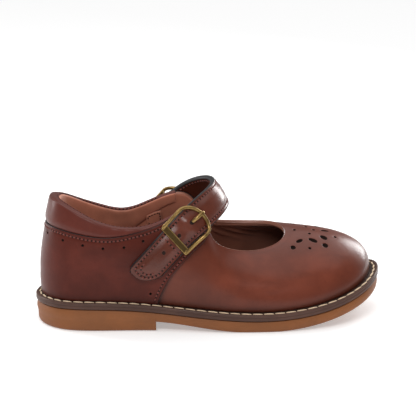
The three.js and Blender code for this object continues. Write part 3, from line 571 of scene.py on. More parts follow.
class Finish:
    """A material's nodes round one Principled shader."""

    def __init__(self, name, **constants):
        self.material = bpy.data.materials.new(name)
        self.material.use_nodes = True
        self.tree = self.material.node_tree
        self.tree.nodes.clear()
        self.shader = self.node("ShaderNodeBsdfPrincipled", {}, constants)
        output = self.tree.nodes.new("ShaderNodeOutputMaterial")
        self.tree.links.new(self.shader.outputs[0], output.inputs["Surface"])
        self.place = self.node("ShaderNodeTexCoord", {}, {}).outputs["Object"]

    def node(self, kind, settings, sockets):
        """Adds a node: its settings first, then the values or links of its sockets."""
        node = self.tree.nodes.new(kind)
        for name, setting in settings.items():
            setattr(node, name, setting)
        self.fill(node, sockets)
        return node

    def fill(self, node, sockets):
        """Sets or links sockets by their number, or by their name with _ for its spaces."""
        for name, value in sockets.items():
            socket = node.inputs[name.replace("_", " ") if isinstance(name, str) else name]
            value = value.socket if isinstance(value, Value) else value
            if isinstance(value, bpy.types.NodeSocket):
                self.tree.links.new(value, socket)
            else:
                socket.default_value = value

    def noise(self, scale, detail=3.0, roughness=0.55, stretch=(1, 1, 1)):
        """Cloudy value round a half, its grain set by scale in features a metre."""
        place = self.node("ShaderNodeMapping", {}, {"Vector": self.place, "Scale": stretch}).outputs[0]
        sockets = {"Vector": place, "Scale": scale, "Detail": detail, "Roughness": roughness}
        return Value(self, self.node("ShaderNodeTexNoise", {}, sockets).outputs["Fac"])

    def cells(self, scale):
        """Distance to the nearest of many scattered points."""
        sockets = {"Vector": self.place, "Scale": scale}
        return Value(self, self.node("ShaderNodeTexVoronoi", {}, sockets).outputs["Distance"])

    def value(self, name):
        """A value that the piece's points carry."""
        node = self.node("ShaderNodeAttribute", {"attribute_name": name}, {})
        return Value(self, node.outputs["Fac"])

    def height(self):
        """Height over the floor in metres."""
        return Value(self, self.node("ShaderNodeSeparateXYZ", {}, {0: self.place}).outputs["Z"])

    def along(self):
        """Distance towards the toe from the middle, in metres."""
        return Value(self, self.node("ShaderNodeSeparateXYZ", {}, {0: self.place}).outputs["X"])

    def mix(self, factor, first, second):
        """Colour between two colours."""
        settings = {"data_type": "RGBA", "blend_type": "MIX"}
        first = first if isinstance(first, bpy.types.NodeSocket) else (*first, 1)
        second = second if isinstance(second, bpy.types.NodeSocket) else (*second, 1)
        node = self.node("ShaderNodeMix", settings, {0: factor, 6: first, 7: second})
        return node.outputs[2]

    def bump(self, height, distance, strength=1.0, below=None):
        """Normal from a height in shares of a distance in metres, over an earlier normal."""
        sockets = {"Height": height, "Distance": distance, "Strength": strength}
        if below is not None:
            sockets["Normal"] = below
        return self.node("ShaderNodeBump", {}, sockets).outputs[0]

    def join(self, **sockets):
        """Sets or links the shader's own sockets."""
        self.fill(self.shader, sockets)
        return self.material


def tone(colour, share):
    """A colour made darker or lighter by a share."""
    return tuple(min(1.0, part * share) for part in colour)


def leather(name, colour, polish=0.36, depth=1.0, variety=1.0, shine=1.0):
    """Polished leather: burnished clouds, dark pores, fine grain and shallow scuffs; each piece's darkening
    value, partly burnish and partly painted shade, takes the colour down towards 0.3 of itself.
    """
    finish = Finish(name, Coat_Weight=0.22 * shine, Coat_Roughness=0.24, Specular_IOR_Level=0.13 * shine)
    clouds = finish.noise(34, 4, 0.6)
    streaks = finish.noise(95, 3, 0.5, (0.35, 1, 1))
    speckle = finish.noise(620, 2, 0.6)
    pores = finish.cells(1500)
    burnish = finish.value("burnish")
    dull, bright = tone(colour, 1 - 0.24 * variety), tone(colour, 1 + 0.2 * variety)
    warm = finish.mix(clouds.ramp(0.35, 0.7), dull, bright)
    mottled = finish.mix(streaks.ramp(0.52, 0.75) * (0.5 * variety), warm, tone(colour, 0.6))
    pored = finish.mix(speckle.ramp(0.58, 0.78) * (0.4 * variety), mottled, tone(colour, 0.7))
    # Darkening value of the piece: partly burnish, partly painted shade in seams, troughs, recesses and
    # towards the welt
    dark = finish.mix(burnish, pored, tone(colour, 0.3))
    grain = pores.ramp(0.0, 0.5) * 0.5 + speckle * 0.5
    rub = finish.noise(260, 4, 0.7)
    normal = finish.bump(grain, 0.00006 * depth, 0.6)
    normal = finish.bump(rub, 0.00012 * depth, 0.35, normal)
    rough = polish + (clouds - 0.5) * 0.16 + rub.ramp(0.5, 0.8) * 0.1 + burnish * 0.12
    return finish.join(Base_Color=dark, Roughness=rough, Normal=normal)


def lining_leather(name, colour):
    """Unpolished lining: soft pale wear at the heel, painted light higher up the wall and painted shade
    deepening towards the toe.
    """
    finish = Finish(name, Specular_IOR_Level=0.3, Sheen_Weight=0.12)
    clouds = finish.noise(60, 4, 0.6)
    grain = finish.noise(900, 2, 0.5)
    worn = finish.along().ramp(-0.062, -0.078) * clouds.ramp(0.3, 0.6)
    base = finish.mix(clouds.ramp(0.3, 0.75), tone(colour, 0.72), tone(colour, 1.12))
    base = finish.mix(worn * 0.55, base, (0.62, 0.45, 0.31))
    # Painted light: lighter higher up the wall
    base = finish.mix(finish.height().ramp(0.046, 0.058) * 0.7, base, tone(colour, 1.55))
    # Painted shade: darker and darker towards the toe, inside the shoe
    base = finish.mix(finish.along().ramp(-0.03, 0.03) * 0.35, base, tone(colour, 0.4))
    base = finish.mix(finish.along().ramp(0.014, 0.052) * 0.7, base, tone(colour, 0.2))
    rough = 0.55 + grain * 0.2
    return finish.join(Base_Color=base, Roughness=rough, Normal=finish.bump(grain, 0.00008, 0.5))


def rubber(name, colour, shade):
    """Moulded rubber: faint mottling, fine pitting, and painted shade darkening it near the floor."""
    finish = Finish(name, Specular_IOR_Level=0.4)
    clouds = finish.noise(45, 5, 0.6)
    pits = finish.noise(1400, 2, 0.5)
    drag = finish.noise(140, 3, 0.6, (0.2, 1, 1.6))
    base = finish.mix(clouds.ramp(0.3, 0.72), tone(colour, 0.86), tone(colour, 1.12))
    base = finish.mix(drag.ramp(0.55, 0.75) * 0.3, base, tone(colour, 0.72))
    # Painted shade: darker towards the floor
    base = finish.mix(finish.height().ramp(0.008, 0.0) * shade, base, tone(colour, 0.55))
    rough = 0.46 + clouds * 0.12 + pits * 0.12
    normal = finish.bump(pits, 0.00005, 0.6)
    return finish.join(Base_Color=base, Roughness=rough, Normal=finish.bump(drag, 0.00012, 0.3, normal))


def thread(name, colour, dirt):
    """Twisted thread: fine cross ribs with painted shade in their hollows, and patches of dust."""
    finish = Finish(name, Specular_IOR_Level=0.25, Sheen_Weight=0.2)
    ply = finish.cells(2600)
    smut = finish.noise(170, 3, 0.6)
    # Painted shade: darker in the hollows between the ribs
    base = finish.mix(ply.ramp(0.1, 0.5), tone(colour, 0.62), colour)
    base = finish.mix(smut.ramp(0.45, 0.75) * dirt, base, tone(colour, 0.42))
    return finish.join(Base_Color=base, Roughness=0.62 + ply * 0.2, Normal=finish.bump(ply, 0.00012, 0.8))


def edge_paint(name, colour):
    """Painted cut edge: dark, half dull, slightly rubbed."""
    finish = Finish(name, Specular_IOR_Level=0.4)
    rub = finish.noise(330, 4, 0.6)
    base = finish.mix(rub.ramp(0.5, 0.8) * 0.5, colour, tone(colour, 2.6))
    return finish.join(Base_Color=base, Roughness=0.38 + rub * 0.25, Normal=finish.bump(rub, 0.0001, 0.4))


def painted_hole_shade(name, colour):
    """Painted shade for the wall and floor of a punched hole, a needle hole or a strap hole."""
    finish = Finish(name, Specular_IOR_Level=0.1)
    rub = finish.noise(800, 2, 0.5)
    return finish.join(Base_Color=finish.mix(rub, colour, tone(colour, 1.7)), Roughness=0.7 + rub * 0.2)


def antique_brass(name, colour, tarnish):
    """Antique brass: bright where rubbed, brown in the hollows, lightly cast."""
    finish = Finish(name, Metallic=0.95)
    clouds = finish.noise(240, 4, 0.65)
    cast = finish.noise(1300, 3, 0.6)
    shade = finish.mix(clouds.ramp(0.42, 0.7) * 0.7, colour, tarnish)
    shade = finish.mix(cast.ramp(0.55, 0.8) * 0.45, shade, tone(tarnish, 0.5))
    rough = 0.26 + clouds.ramp(0.4, 0.8) * 0.22 + cast * 0.08
    return finish.join(Base_Color=shade, Roughness=rough, Normal=finish.bump(cast, 0.00008, 0.5))


# Toe ornament: along from the throat's front and across from the vamp's ridge, then length, width and turn;
# each row with a distance across stands on both sides
MEDALLION = [
    {"along": 1.8, "across": 14.2, "length": 2.6, "width": 3.1, "turn": 0},
    {"along": 9.9, "across": 15.4, "length": 1.5, "width": 1.7, "turn": 0},
    {"along": 18.0, "across": 13.4, "length": 2.9, "width": 3.4, "turn": 0},
    {"along": 5.8, "across": 9.9, "length": 4.0, "width": 2.3, "turn": -35},
    {"along": 12.6, "across": 9.9, "length": 5.0, "width": 2.7, "turn": 42},
    {"along": 18.5, "across": 7.4, "length": 4.3, "width": 3.1, "turn": 58},
    {"along": 12.0, "across": 4.2, "length": 1.5, "width": 1.7, "turn": 0},
    {"along": 24.6, "across": 5.6, "length": 1.5, "width": 1.7, "turn": 0},
    {"along": 5.3, "across": 0, "length": 1.5, "width": 1.7, "turn": 0},
    {"along": 14.9, "across": 0, "length": 1.5, "width": 1.7, "turn": 0},
    {"along": 20.6, "across": 0, "length": 4.2, "width": 2.1, "turn": 0},
]
# Pinholes of the quarter in side view: shares of LENGTH and INSTEP_HEIGHT, on both sides
PINHOLES = {
    "x": [0.034, 0.074, 0.128, 0.184, 0.243, 0.297, 0.316],
    "z": [0.634, 0.615, 0.592, 0.572, 0.576, 0.615, 0.256],
}
PINHOLE_WIDTH = 1.25
# Ribs of the ring in one length of the shoe, for the first guess at a pinhole's place
RIBS_A_LENGTH = 15.5
# Creases of the vamp and the quarter: place on the ring of ribs, height share, half length along the ring,
# half width up the wall, depth in millimetres (a ridge is negative) and slant
CREASES = [
    {"s": 8.8, "t": 0.3, "long": 1.1, "wide": 0.05, "depth": 0.07, "slant": 0.05},
    {"s": 9.6, "t": 0.36, "long": 0.9, "wide": 0.045, "depth": 0.05, "slant": 0.03},
    {"s": 9.0, "t": 0.42, "long": 0.9, "wide": 0.05, "depth": -0.04, "slant": 0.04},
    {"s": 15.2, "t": 0.32, "long": 1.1, "wide": 0.035, "depth": 0.1, "slant": -0.05},
    {"s": 14.4, "t": 0.38, "long": 0.9, "wide": 0.03, "depth": 0.08, "slant": -0.03},
    {"s": 2.6, "t": 0.3, "long": 1.0, "wide": 0.05, "depth": 0.12, "slant": -0.05},
    {"s": 21.4, "t": 0.3, "long": 1.0, "wide": 0.05, "depth": 0.12, "slant": 0.05},
    {"s": 0.0, "t": 0.26, "long": 0.8, "wide": 0.06, "depth": 0.12, "slant": 0.0},
]
# Soft folds of the lining in the throat, set out like the creases
LINING_FOLDS = [
    {"s": 13.7, "t": 0.9, "long": 0.5, "wide": 0.02, "depth": 0.8, "slant": 0.16},
    {"s": 14.3, "t": 0.86, "long": 0.55, "wide": 0.022, "depth": 0.95, "slant": 0.17},
    {"s": 14.9, "t": 0.82, "long": 0.5, "wide": 0.02, "depth": 0.9, "slant": 0.19},
    {"s": 15.6, "t": 0.8, "long": 0.5, "wide": 0.025, "depth": 0.85, "slant": 0.2},
    {"s": 16.4, "t": 0.84, "long": 0.4, "wide": 0.02, "depth": 0.4, "slant": 0.2},
    {"s": 9.4, "t": 0.84, "long": 0.5, "wide": 0.022, "depth": 0.5, "slant": -0.17},
    {"s": 8.6, "t": 0.8, "long": 0.5, "wide": 0.025, "depth": 0.5, "slant": -0.19},
]
# How far the quarter's rows of stitches stand in from its edges, and its outer face off the upper's
STITCH_INSET = 1.5
OUTER_FACE = GAP + QUARTER_THICKNESS


def crease_depth(s, t, creases=CREASES):
    """Sum of the creases: for each, a bell along its own slanted line times a bell across it."""
    depth = 0 * s * t
    for crease in creases:
        off = (s - crease["s"] + RING_COUNT / 2) % RING_COUNT - RING_COUNT / 2
        across = t - crease["t"] - crease["slant"] * off
        depth = depth + crease["depth"] * bell(off, crease["long"]) * bell(across, crease["wide"])
    return depth


class Hole:
    """A punched hole on the upper's face: an oval in the face's own plane at one place."""

    def __init__(self, s, t, length, width, turn):
        self.s, self.t = float(s), float(t)
        self.size = np.array([length, width]) / 2
        step = 0.01
        by_s = (skin(self.s + step, self.t) - skin(self.s - step, self.t)) / (2 * step)
        by_t = (skin(self.s, self.t + step) - skin(self.s, self.t - step)) / (2 * step)
        normal = skin_normal(self.s, self.t)
        ahead = np.array([1.0, 0, 0])
        ahead = unit(ahead - normal * (ahead @ normal))
        left = np.cross(normal, ahead)
        angle = np.radians(turn)
        first = ahead * np.cos(angle) + left * np.sin(angle)
        second = left * np.cos(angle) - ahead * np.sin(angle)
        self.to_plane = np.array([[by_s @ first, by_t @ first], [by_s @ second, by_t @ second]])

    def covers(self, s, t, margin):
        """Whether places lie inside the oval grown by a margin."""
        off = (s - self.s + RING_COUNT / 2) % RING_COUNT - RING_COUNT / 2
        a = self.to_plane[0, 0] * off + self.to_plane[0, 1] * (t - self.t)
        b = self.to_plane[1, 0] * off + self.to_plane[1, 1] * (t - self.t)
        return (a / (self.size[0] + margin)) ** 2 + (b / (self.size[1] + margin)) ** 2 < 1

    def rings(self, margins, sides=28):
        """Places on the oval grown by each of some margins, one row a margin."""
        turn = np.arange(sides) / sides * 2 * np.pi
        long, wide = (np.maximum(half + margins, 0.02)[:, None] for half in self.size)
        oval = np.stack([long * np.cos(turn), wide * np.sin(turn)])
        move = np.tensordot(np.linalg.inv(self.to_plane), oval, 1)
        return self.s + move[0], self.t + move[1]

    def lining(self, face, depth, leather_finish, hole_finish, reach=1.35):
        """The leather round the hole on a face, then the hole's wall and floor: rings of the grown oval."""
        margins = np.array([reach, reach * 0.6, 0.22, 0.08, 0, -0.06, -0.1, -9])
        lifts = np.array([0.025, 0.025, 0.02, -0.01, -0.07, -0.3, -depth, -depth])
        # The last three rings, the hole's wall and floor, take the hole's finish of painted shade
        finish = np.array([leather_finish] * 4 + [hole_finish] * 3)
        s, t = self.rings(margins)
        points = skin_offset(s, t, face + lifts[:, None] - crease_depth(s, t))
        return grid(points, closed_columns=True, finish=finish[:, None]).facing(skin_normal(self.s, self.t))


def open_cells(s, t, holes, margin=0.45):
    """Which faces of a grid of places stay, once the cells under the holes are taken out."""
    s, t = np.broadcast_arrays(s, t)
    s_mid = (s[:-1, :-1] + s[1:, 1:]) / 2
    t_mid = (t[:-1, :-1] + t[1:, 1:]) / 2
    covered = [hole.covers(s_mid, t_mid, margin) for hole in holes]
    return ~np.any(covered, axis=0)


def medallion_holes():
    """The toe ornament's holes, set out in plan along the vamp's ridge."""
    throat, toe = skin(TOE_RIB, 1.0), skin(TOE_RIB, 0.5)
    ahead = unit((toe - throat)[:2])
    left = np.array([-ahead[1], ahead[0]])
    lean = np.degrees(np.arctan2(ahead[1], ahead[0]))
    holes = []
    for row in MEDALLION:
        for side in ((-1, 1) if row["across"] else (1,)):
            x, y = throat[:2] + ahead * row["along"] + left * row["across"] * side
            holes.append(Hole(*place_in_plan(x, y), row["length"], row["width"], row["turn"] * side + lean))
    return holes


def pinholes():
    """The quarter's pinholes on both sides."""
    x = np.array(PINHOLES["x"]) * LENGTH
    z = np.array(PINHOLES["z"]) * INSTEP_HEIGHT
    holes = []
    for side in (OUTER, INNER):
        start = on_side(side, np.array(PINHOLES["x"]) * RIBS_A_LENGTH)
        places = settle_on_face(np.stack([x, z], -1), start, np.full(x.shape, 0.65))
        holes += [Hole(s, t, PINHOLE_WIDTH, PINHOLE_WIDTH, 0) for s, t in zip(*places)]
    return holes


def settle_on_face(target, s, t):
    """Places whose point on the quarter's outer face has a given x and z."""
    aim = target
    for _ in range(4):
        s, t = settle(aim, s, t, side_view, 8)
        aim = target - side_view(skin_normal(s, t)) * OUTER_FACE
    return s, t


def front_line(side, count=90):
    """Places of the quarter's front edge from the welt to the top line."""
    curve = columns(QUARTER_FRONT, False)
    at = np.linspace(0.3, 8.6, count)
    target = np.stack([curve["x"](at) * LENGTH, curve["z"](at) * INSTEP_HEIGHT], -1)
    s, t = settle_on_face(target, np.full(count, on_side(side, STRAP_RIB)), np.full(count, 0.6))
    order = np.argsort(t)
    return s[order], t[order]


FRONT_LINES = {side: front_line(side) for side in (OUTER, INNER)}


def vamp_shade(s, t):
    """How dark the vamp is painted: painted shade towards the welt and beside the quarter's front edges, and
    a darker band along its top edge.
    """
    # Painted shade: darker towards the welt
    welt = 0.35 * soft_step(0.1 - t, 0, 0.1) + 0.4 * soft_step(0.5 - t, 0, 0.5)
    edge = 0.25 * soft_step(t, 0.975, 1) + 0.16 * bell(t - 0.955, 0.012)
    under = 0.0
    # Painted shade in a band along each of the quarter's front edges
    for side, (line_s, line_t) in FRONT_LINES.items():
        ahead = (np.interp(t, line_t, line_s) - s % RING_COUNT) * side
        under = under + 0.45 * bell(ahead - 0.06, 0.1) * (t < 1)
    return welt + edge + under


def upper_surfaces(holes):
    """Ring of ribs closed round the wall: up the outer face, over the edge and down the lining.

    The edge is a half circle across the wall; the outer face is cut open under the holes.
    """
    fine_from, fine_to, fine_steps, steps = 9, 15, 28, 12
    s = np.concatenate([
        np.arange(fine_from, fine_to, 1 / fine_steps),
        np.arange(fine_to, fine_from + RING_COUNT, 1 / steps),
        [fine_from + RING_COUNT],
    ])[:, None]
    up = np.linspace(0, 1, 88)[None]
    face = skin_offset(s, up, -crease_depth(s, up))
    outer = grid(face, keep=open_cells(s, up, holes), finish=0, burnish=vamp_shade(s, up))
    turn = np.linspace(0, np.pi, 7)[None]
    edge = skin_offset(s, 1.0, -WALL / 2 + WALL / 2 * np.cos(turn))
    edge[..., 2] += 0.4 * np.sin(turn)
    # The rim's finish is lighter: partly the raw edge's colour, partly a painted highlight
    rim = grid(edge, finish=3)
    down = np.linspace(1, 0, 42)[None]
    folds = crease_depth(s, down, LINING_FOLDS) * soft_step(1 - down, 0.02, 0.08)
    inside = grid(skin_offset(s, down, -WALL - folds), finish=1)
    foot = grid(skin_offset(s, 0.0, -WALL * (1 - np.linspace(0, 1, 3)[None])), finish=1)
    surfaces = [outer, rim, inside, foot]
    turned = sum(surface.volume() for surface in surfaces) < 0
    return [surface.turned() if turned else surface for surface in surfaces]


def quarter_top(s):
    """Place up the rib of the quarter's top edge."""
    return 1 - RIB_CURVE["bare"](s) * COLLAR_DEPTH / top_speed(s)


def speeds(s, t):
    """Millimetres on the face per unit of s and per unit of t."""
    by_s = np.linalg.norm(skin(s + 0.02, t) - skin(s - 0.02, t), axis=-1) / 0.04
    by_t = np.linalg.norm(skin(s, t + 0.01) - skin(s, t - 0.01), axis=-1) / 0.02
    return by_s, by_t


def quarter_places(columns_count=300, rows_count=66):
    """Places of the quarter: shares from its inner front edge round the heel to its outer one, and up.

    The edges run on for a few rows, whose distance past the edge and drop below the face round it off.
    """
    past = np.array([0, 0.16, 0.29, 0.37, 0.4, 0.4, 0.4])
    drop = np.array([0, 0.05, 0.17, 0.33, 0.5, 1.0, 1.5])
    more = len(past) - 1
    u = np.concatenate([np.zeros(more), np.linspace(0, 1, columns_count), np.ones(more)])
    u_past = np.concatenate([-past[:0:-1], np.zeros(columns_count), past[1:]])
    u_drop = np.concatenate([drop[:0:-1], np.zeros(columns_count), drop[1:]])
    q = np.concatenate([np.linspace(0, 1, rows_count), np.ones(more)])
    q_past = np.concatenate([np.zeros(rows_count), past[1:]])
    q_drop = np.concatenate([np.zeros(rows_count), drop[1:]])
    rise = q * 0.992
    right, left = (np.interp(rise, line_t, line_s) for line_s, line_t in FRONT_LINES.values())
    left = left - RING_COUNT
    s = left[None] + (right - left)[None] * u[:, None]
    t = q[None] * quarter_top(s)
    speed_s, speed_t = speeds(s, t)
    full_s = s + u_past[:, None] / speed_s
    full_t = t + q_past[None] / speed_t
    lower = np.maximum(u_drop[:, None], q_drop[None])
    ahead = np.minimum(right[None] - s, s - left[None]) * speed_s
    below = (quarter_top(s) - t) * speed_t
    return full_s, full_t, lower, ahead, below


def quarter_surface(holes):
    """The quarter's face off the upper's, with a seam trough along its rows of stitches."""
    s, t, lower, ahead, below = quarter_places()
    rows = np.maximum(bell(ahead - STITCH_INSET, 0.5), bell(below - STITCH_INSET, 0.5))
    creases = crease_depth(s, t) * np.minimum(t / 0.03, 1)
    face = skin_offset(s, t, OUTER_FACE - lower - 0.16 * rows - creases)
    # Painted shade: darker towards the welt and in the seam troughs along the stitch rows; also darker near
    # the edges
    burnish = 0.4 * soft_step(0.1 - t, 0, 0.1) + 0.2 * soft_step(0.5 - t, 0, 0.5)
    burnish = burnish + 0.34 * rows + 0.3 * bell(np.minimum(ahead, below), 0.55)
    painted = (lower[:-1, :-1] + lower[1:, 1:]) / 2 > 0.04
    sheet = grid(face, keep=open_cells(s, t, holes), finish=painted.astype(int), burnish=burnish)
    probe = 4000
    inside_heel = np.array([60.0, 0, 30])
    return sheet.facing(sheet.points[sheet.quads[probe, 0]] - inside_heel, probe)


def quarter_rows():
    """Lines of stitches on the quarter: one along the top edge and one behind each front edge."""
    (outer_s, outer_t), (inner_s, inner_t) = FRONT_LINES.values()
    inner_s = inner_s - RING_COUNT
    rows = np.linspace(-7.6, 7.6, 500)
    speed = np.linalg.norm(skin(rows, 0.9) - skin(rows, 0.88), axis=-1) / 0.02
    top_t = quarter_top(rows) - STITCH_INSET / speed
    behind_outer = rows < np.interp(top_t, outer_t, outer_s) - 0.2
    ahead_of_inner = rows > np.interp(top_t, inner_t, inner_s) + 0.2
    inside = behind_outer & ahead_of_inner
    lines = [(rows[inside], top_t[inside])]
    for s, t, way in ((outer_s, outer_t, -1), (inner_s, inner_t, 1)):
        up = (t > 0.03) & (t < 0.93)
        s, t = s[up], t[up]
        lines.append((s + way * STITCH_INSET / speeds(s, t)[0], t))
    face = OUTER_FACE - 0.12
    return [(skin_offset(s, t, face - crease_depth(s, t)), skin_normal(s, t)) for s, t in lines]


def stitches(lines, pitch, length, width, finish=0, hole_finish=1):
    """Rows of short stitches, sunk by a third of the thread, with a bead of painted shade for the needle
    hole between each two.
    """
    sink, hole_length, hole_width, hole_depth = 0.35, 0.9, width * 1.4, 0.2
    surfaces = []
    for points, ups in lines:
        middle, along, share = even_line(points, pitch)
        up = np.stack([np.interp(share, np.linspace(0, 1, len(ups)), column) for column in ups.T], -1)
        up = unit(up - along * np.einsum("ij,ij->i", up, along)[:, None])
        lift = middle + up * width * (0.5 - sink)
        surfaces.append(beads(lift, along, up, length, width, width * 0.8, finish))
        # Needle holes: flat dark beads of painted shade between the stitches
        low = (middle[1:] + middle[:-1]) / 2 + up[1:] * 0.02
        holes = beads(low, along[1:], up[1:], hole_length, hole_width, hole_depth, hole_finish, 8, 4)
        surfaces.append(holes)
    return surfaces


# The collar's reach round the ring each way, how far it fades there and to what share; then in millimetres
# its pad's thickness, its roll's height over the top line, its lip and its depth down the lining
COLLAR_ROWS = 5.75
COLLAR_FADE = 2.5
COLLAR_END = 0.35
PAD = 1.9
ROLL = 2.1
LIP = 0.8
HEM = 12.0


def collar_fade(s):
    """Share of the roll's full size: 1 round the heel, a smooth step down to its end share at both ears."""
    return 1 - (1 - COLLAR_END) * soft_step(np.abs(s), COLLAR_ROWS - COLLAR_FADE, COLLAR_ROWS)


def collar_section(s, steps=46):
    """Places of the roll's section at each s: offset from the upper's face and depth below the top line.

    A curve runs from the outer seam up the pad, over an oval roll and down the lining to the hem; two points
    on the wall's own edge close it.
    """
    fade = collar_fade(s)
    pad, roll, hem = PAD * fade, ROLL * fade, HEM * fade
    lip = RIB_CURVE["bare"](s) * COLLAR_DEPTH - GAP
    inside = -WALL - GAP
    middle, half = -WALL / 2, WALL / 2 + GAP + pad
    section = [(GAP, lip), (GAP + LIP * 0.7, lip), (GAP + pad * 0.9, lip * 0.78), (GAP + pad, lip * 0.45)]
    for angle in np.radians([20, 45, 68, 90, 112, 135, 160]):
        section.append((middle + half * np.cos(angle), -GAP - roll * np.sin(angle)))
    section += [(inside - pad * 1.05, hem * 0.3), (inside - pad * 0.9, hem * 0.7)]
    section += [(inside - LIP * 0.6, hem * 0.98), (inside, hem)]
    table = np.array([np.stack(np.broadcast_arrays(across + 0 * s, down), -1) for across, down in section])
    fine = np.moveaxis(spline(table, False)(np.linspace(0, len(section) - 1, steps)), 0, 1)
    closing = np.broadcast_to([[inside, -GAP], [GAP, -GAP]], (len(s), 2, 2))
    return np.concatenate([fine, closing], 1)


def collar_surface():
    """Padded roll over the top edge: one closed section carried round the heel, closed at both ears.

    Each end's rings are the section drawn to its middle by sin a while they move on.
    """
    steps = 46
    s = np.linspace(-COLLAR_ROWS, COLLAR_ROWS, 260)
    section = collar_section(s, steps)
    centre = section.mean(1, keepdims=True)
    offset, depth = section[..., 0] + wrinkles(s[:, None], section), section[..., 1]
    points = collar_points(s[:, None], offset, depth)
    middles = collar_points(s[:, None], centre[..., 0], centre[..., 1])
    shares = np.array([0.0, 0.35, 0.65, 0.86, 0.96])[:, None, None]
    caps = []
    for end, beside in ((0, 1), (-1, -2)):
        out = unit((points[end] - points[beside]).mean(0))
        girth = (points[end] - middles[end]) * np.sin(shares * np.pi / 2)
        caps.append(middles[end] + girth + (1 - shares) * 0.9 * out)
    points = np.concatenate([caps[0], points, caps[1][::-1]])
    lip = section[:, :1, 1]
    # Painted shade along the outer seam, where the collar's lip runs in under the quarter's top edge
    seam = np.zeros(points.shape[:2])
    seam[len(shares):-len(shares)] = 0.5 * bell(depth - lip, 0.6) * (section[..., 0] > 0)
    row = np.arange(points.shape[1])
    lined = (row > steps * 0.6) & (row < steps + 1)
    return grid(points, closed_columns=True, finish=lined.astype(int)[None], burnish=seam).outward()


def collar_row():
    """Line of stitches along the inner shoulder of the padded roll."""
    s = np.linspace(-5.2, 5.2, 400)
    fade = collar_fade(s)
    angle = np.radians(112)
    half = WALL / 2 + GAP + PAD * fade
    offset = -WALL / 2 + (half + 0.04) * np.cos(angle)
    depth = -GAP - (ROLL * fade + 0.04) * np.sin(angle)
    points = collar_points(s, offset, depth)
    inner = collar_points(s, offset * 0 - WALL / 2, depth * 0)
    return [(points, unit(points - inner))]


# The lining's tab: its middle on the ring and up the wall, its half sizes there, and its lift off the face
TAB = {"s": -4.97, "t": 0.81, "half_s": 0.26, "half_t": 0.075, "face": -3.45}


def tab_ring(share, lift):
    """Ring of a rounded square about the tab's middle: cos a and sin a over the greater of them to 0.8."""
    turn = np.arange(48) / 48 * 2 * np.pi
    square = np.maximum(np.abs(np.cos(turn)), np.abs(np.sin(turn))) ** 0.8
    s = TAB["s"] + TAB["half_s"] * share * np.cos(turn) / square
    t = TAB["t"] + TAB["half_t"] * share * np.sin(turn) / square
    return skin_offset(s, t, TAB["face"] - lift), skin_normal(s, t)


def lining_tab():
    """Stitched tab inside the inner wall: rings over its face and back underneath; and its stitch line."""
    shares = [0, 0.3, 0.6, 0.85, 0.95, 1, 1, 0.5, 0]
    lifts = [0.6, 0.6, 0.6, 0.52, 0.4, 0.2, -0.6, -0.6, -0.6]
    loops = np.array([tab_ring(share, lift)[0] for share, lift in zip(shares, lifts)])
    points, normals = tab_ring(0.8, 0.58)
    return grid(loops, closed_columns=True, finish=1).outward(), [(points, -normals)]


def lining_edge():
    """Rolled top edge of the lining round the throat: a thin rod just inside and below the cut edge."""
    s = np.linspace(6.9, 17.1, 160)
    t = 1 - 1.5 / top_speed(s)
    return tube(skin_offset(s, t, -WALL - 0.2), skin_normal(s, t), 1.5, 1.0, 12, finish=1)


# Soft creases of the padded roll: place on the ring, half length along it and depth
WRINKLES = [
    (-4.4, 0.16, 0.3), (-3.3, 0.12, 0.22), (-2.2, 0.14, 0.3), (2.1, 0.14, 0.3), (3.15, 0.12, 0.26),
    (4.3, 0.16, 0.32), (3.7, 0.1, 0.16), (-3.8, 0.1, 0.16), (1.2, 0.2, 0.16), (-1.1, 0.2, 0.16),
]


def wrinkles(s, section):
    """Sum of bells round the ring, dents inside and lower swellings outside, fading down the face."""
    slant = (section[..., 1] + 2) * 0.012
    depth = sum(deep * bell(s - at + slant, width) for at, width, deep in WRINKLES)
    inner = section[..., 0] < -WALL / 2
    return np.where(inner, depth, -0.4 * depth) * soft_step(6.5 - section[..., 1], 0, 6)


def collar_points(s, offset, depth):
    """Points off the upper's face by an offset, below the top line by a depth or above it."""
    t = 1 - np.maximum(depth, 0) / top_speed(s)
    up = unit(skin(s, 1.0) - skin(s, 0.97))
    return skin_offset(s + 0 * offset, t, offset) + up * np.maximum(-depth, 0)[..., None]


def outline_rings(place, rows):
    """Rings of the sole's plan, each moved in by its inset and raised over the welt's top by its rise."""
    rings = []
    for inset, rise in rows:
        ring, _ = outline(place, np.full(place.shape, inset))
        ring[:, 2] = seat_height(ring[:, 0]) + rise
        rings.append(ring)
    return rings


def round_places(count):
    """Even places once round the sole's plan."""
    return np.arange(count) / count * OUTLINE_COUNT


def insole_surface():
    """Sock: rings of the plan moved in, then drawn together on its middle line, a little dished."""
    inset = WELT_MARGIN + WALL + GAP * 2
    place = round_places(240)
    mates = -np.arange(len(place)) % len(place)
    thickness, dish = 2.45, 0.5
    side = [(inset, GAP), (inset, 1.6), (inset + 0.12, 2.1), (inset + 0.5, thickness)]
    rings = outline_rings(place, side)
    base, edge = rings[0], rings[-1]
    for share in (0.15, 0.35, 0.55, 0.75, 0.9, 1.0):
        ring = edge + (edge[mates] - edge) / 2 * share
        ring[:, 2] = seat_height(ring[:, 0]) + thickness - dish * share
        rings.append(ring)
    under = [base + (base[mates] - base) / 2 * share for share in (1.0, 0.5)]
    return grid(np.array(under + rings), closed_columns=True).outward()


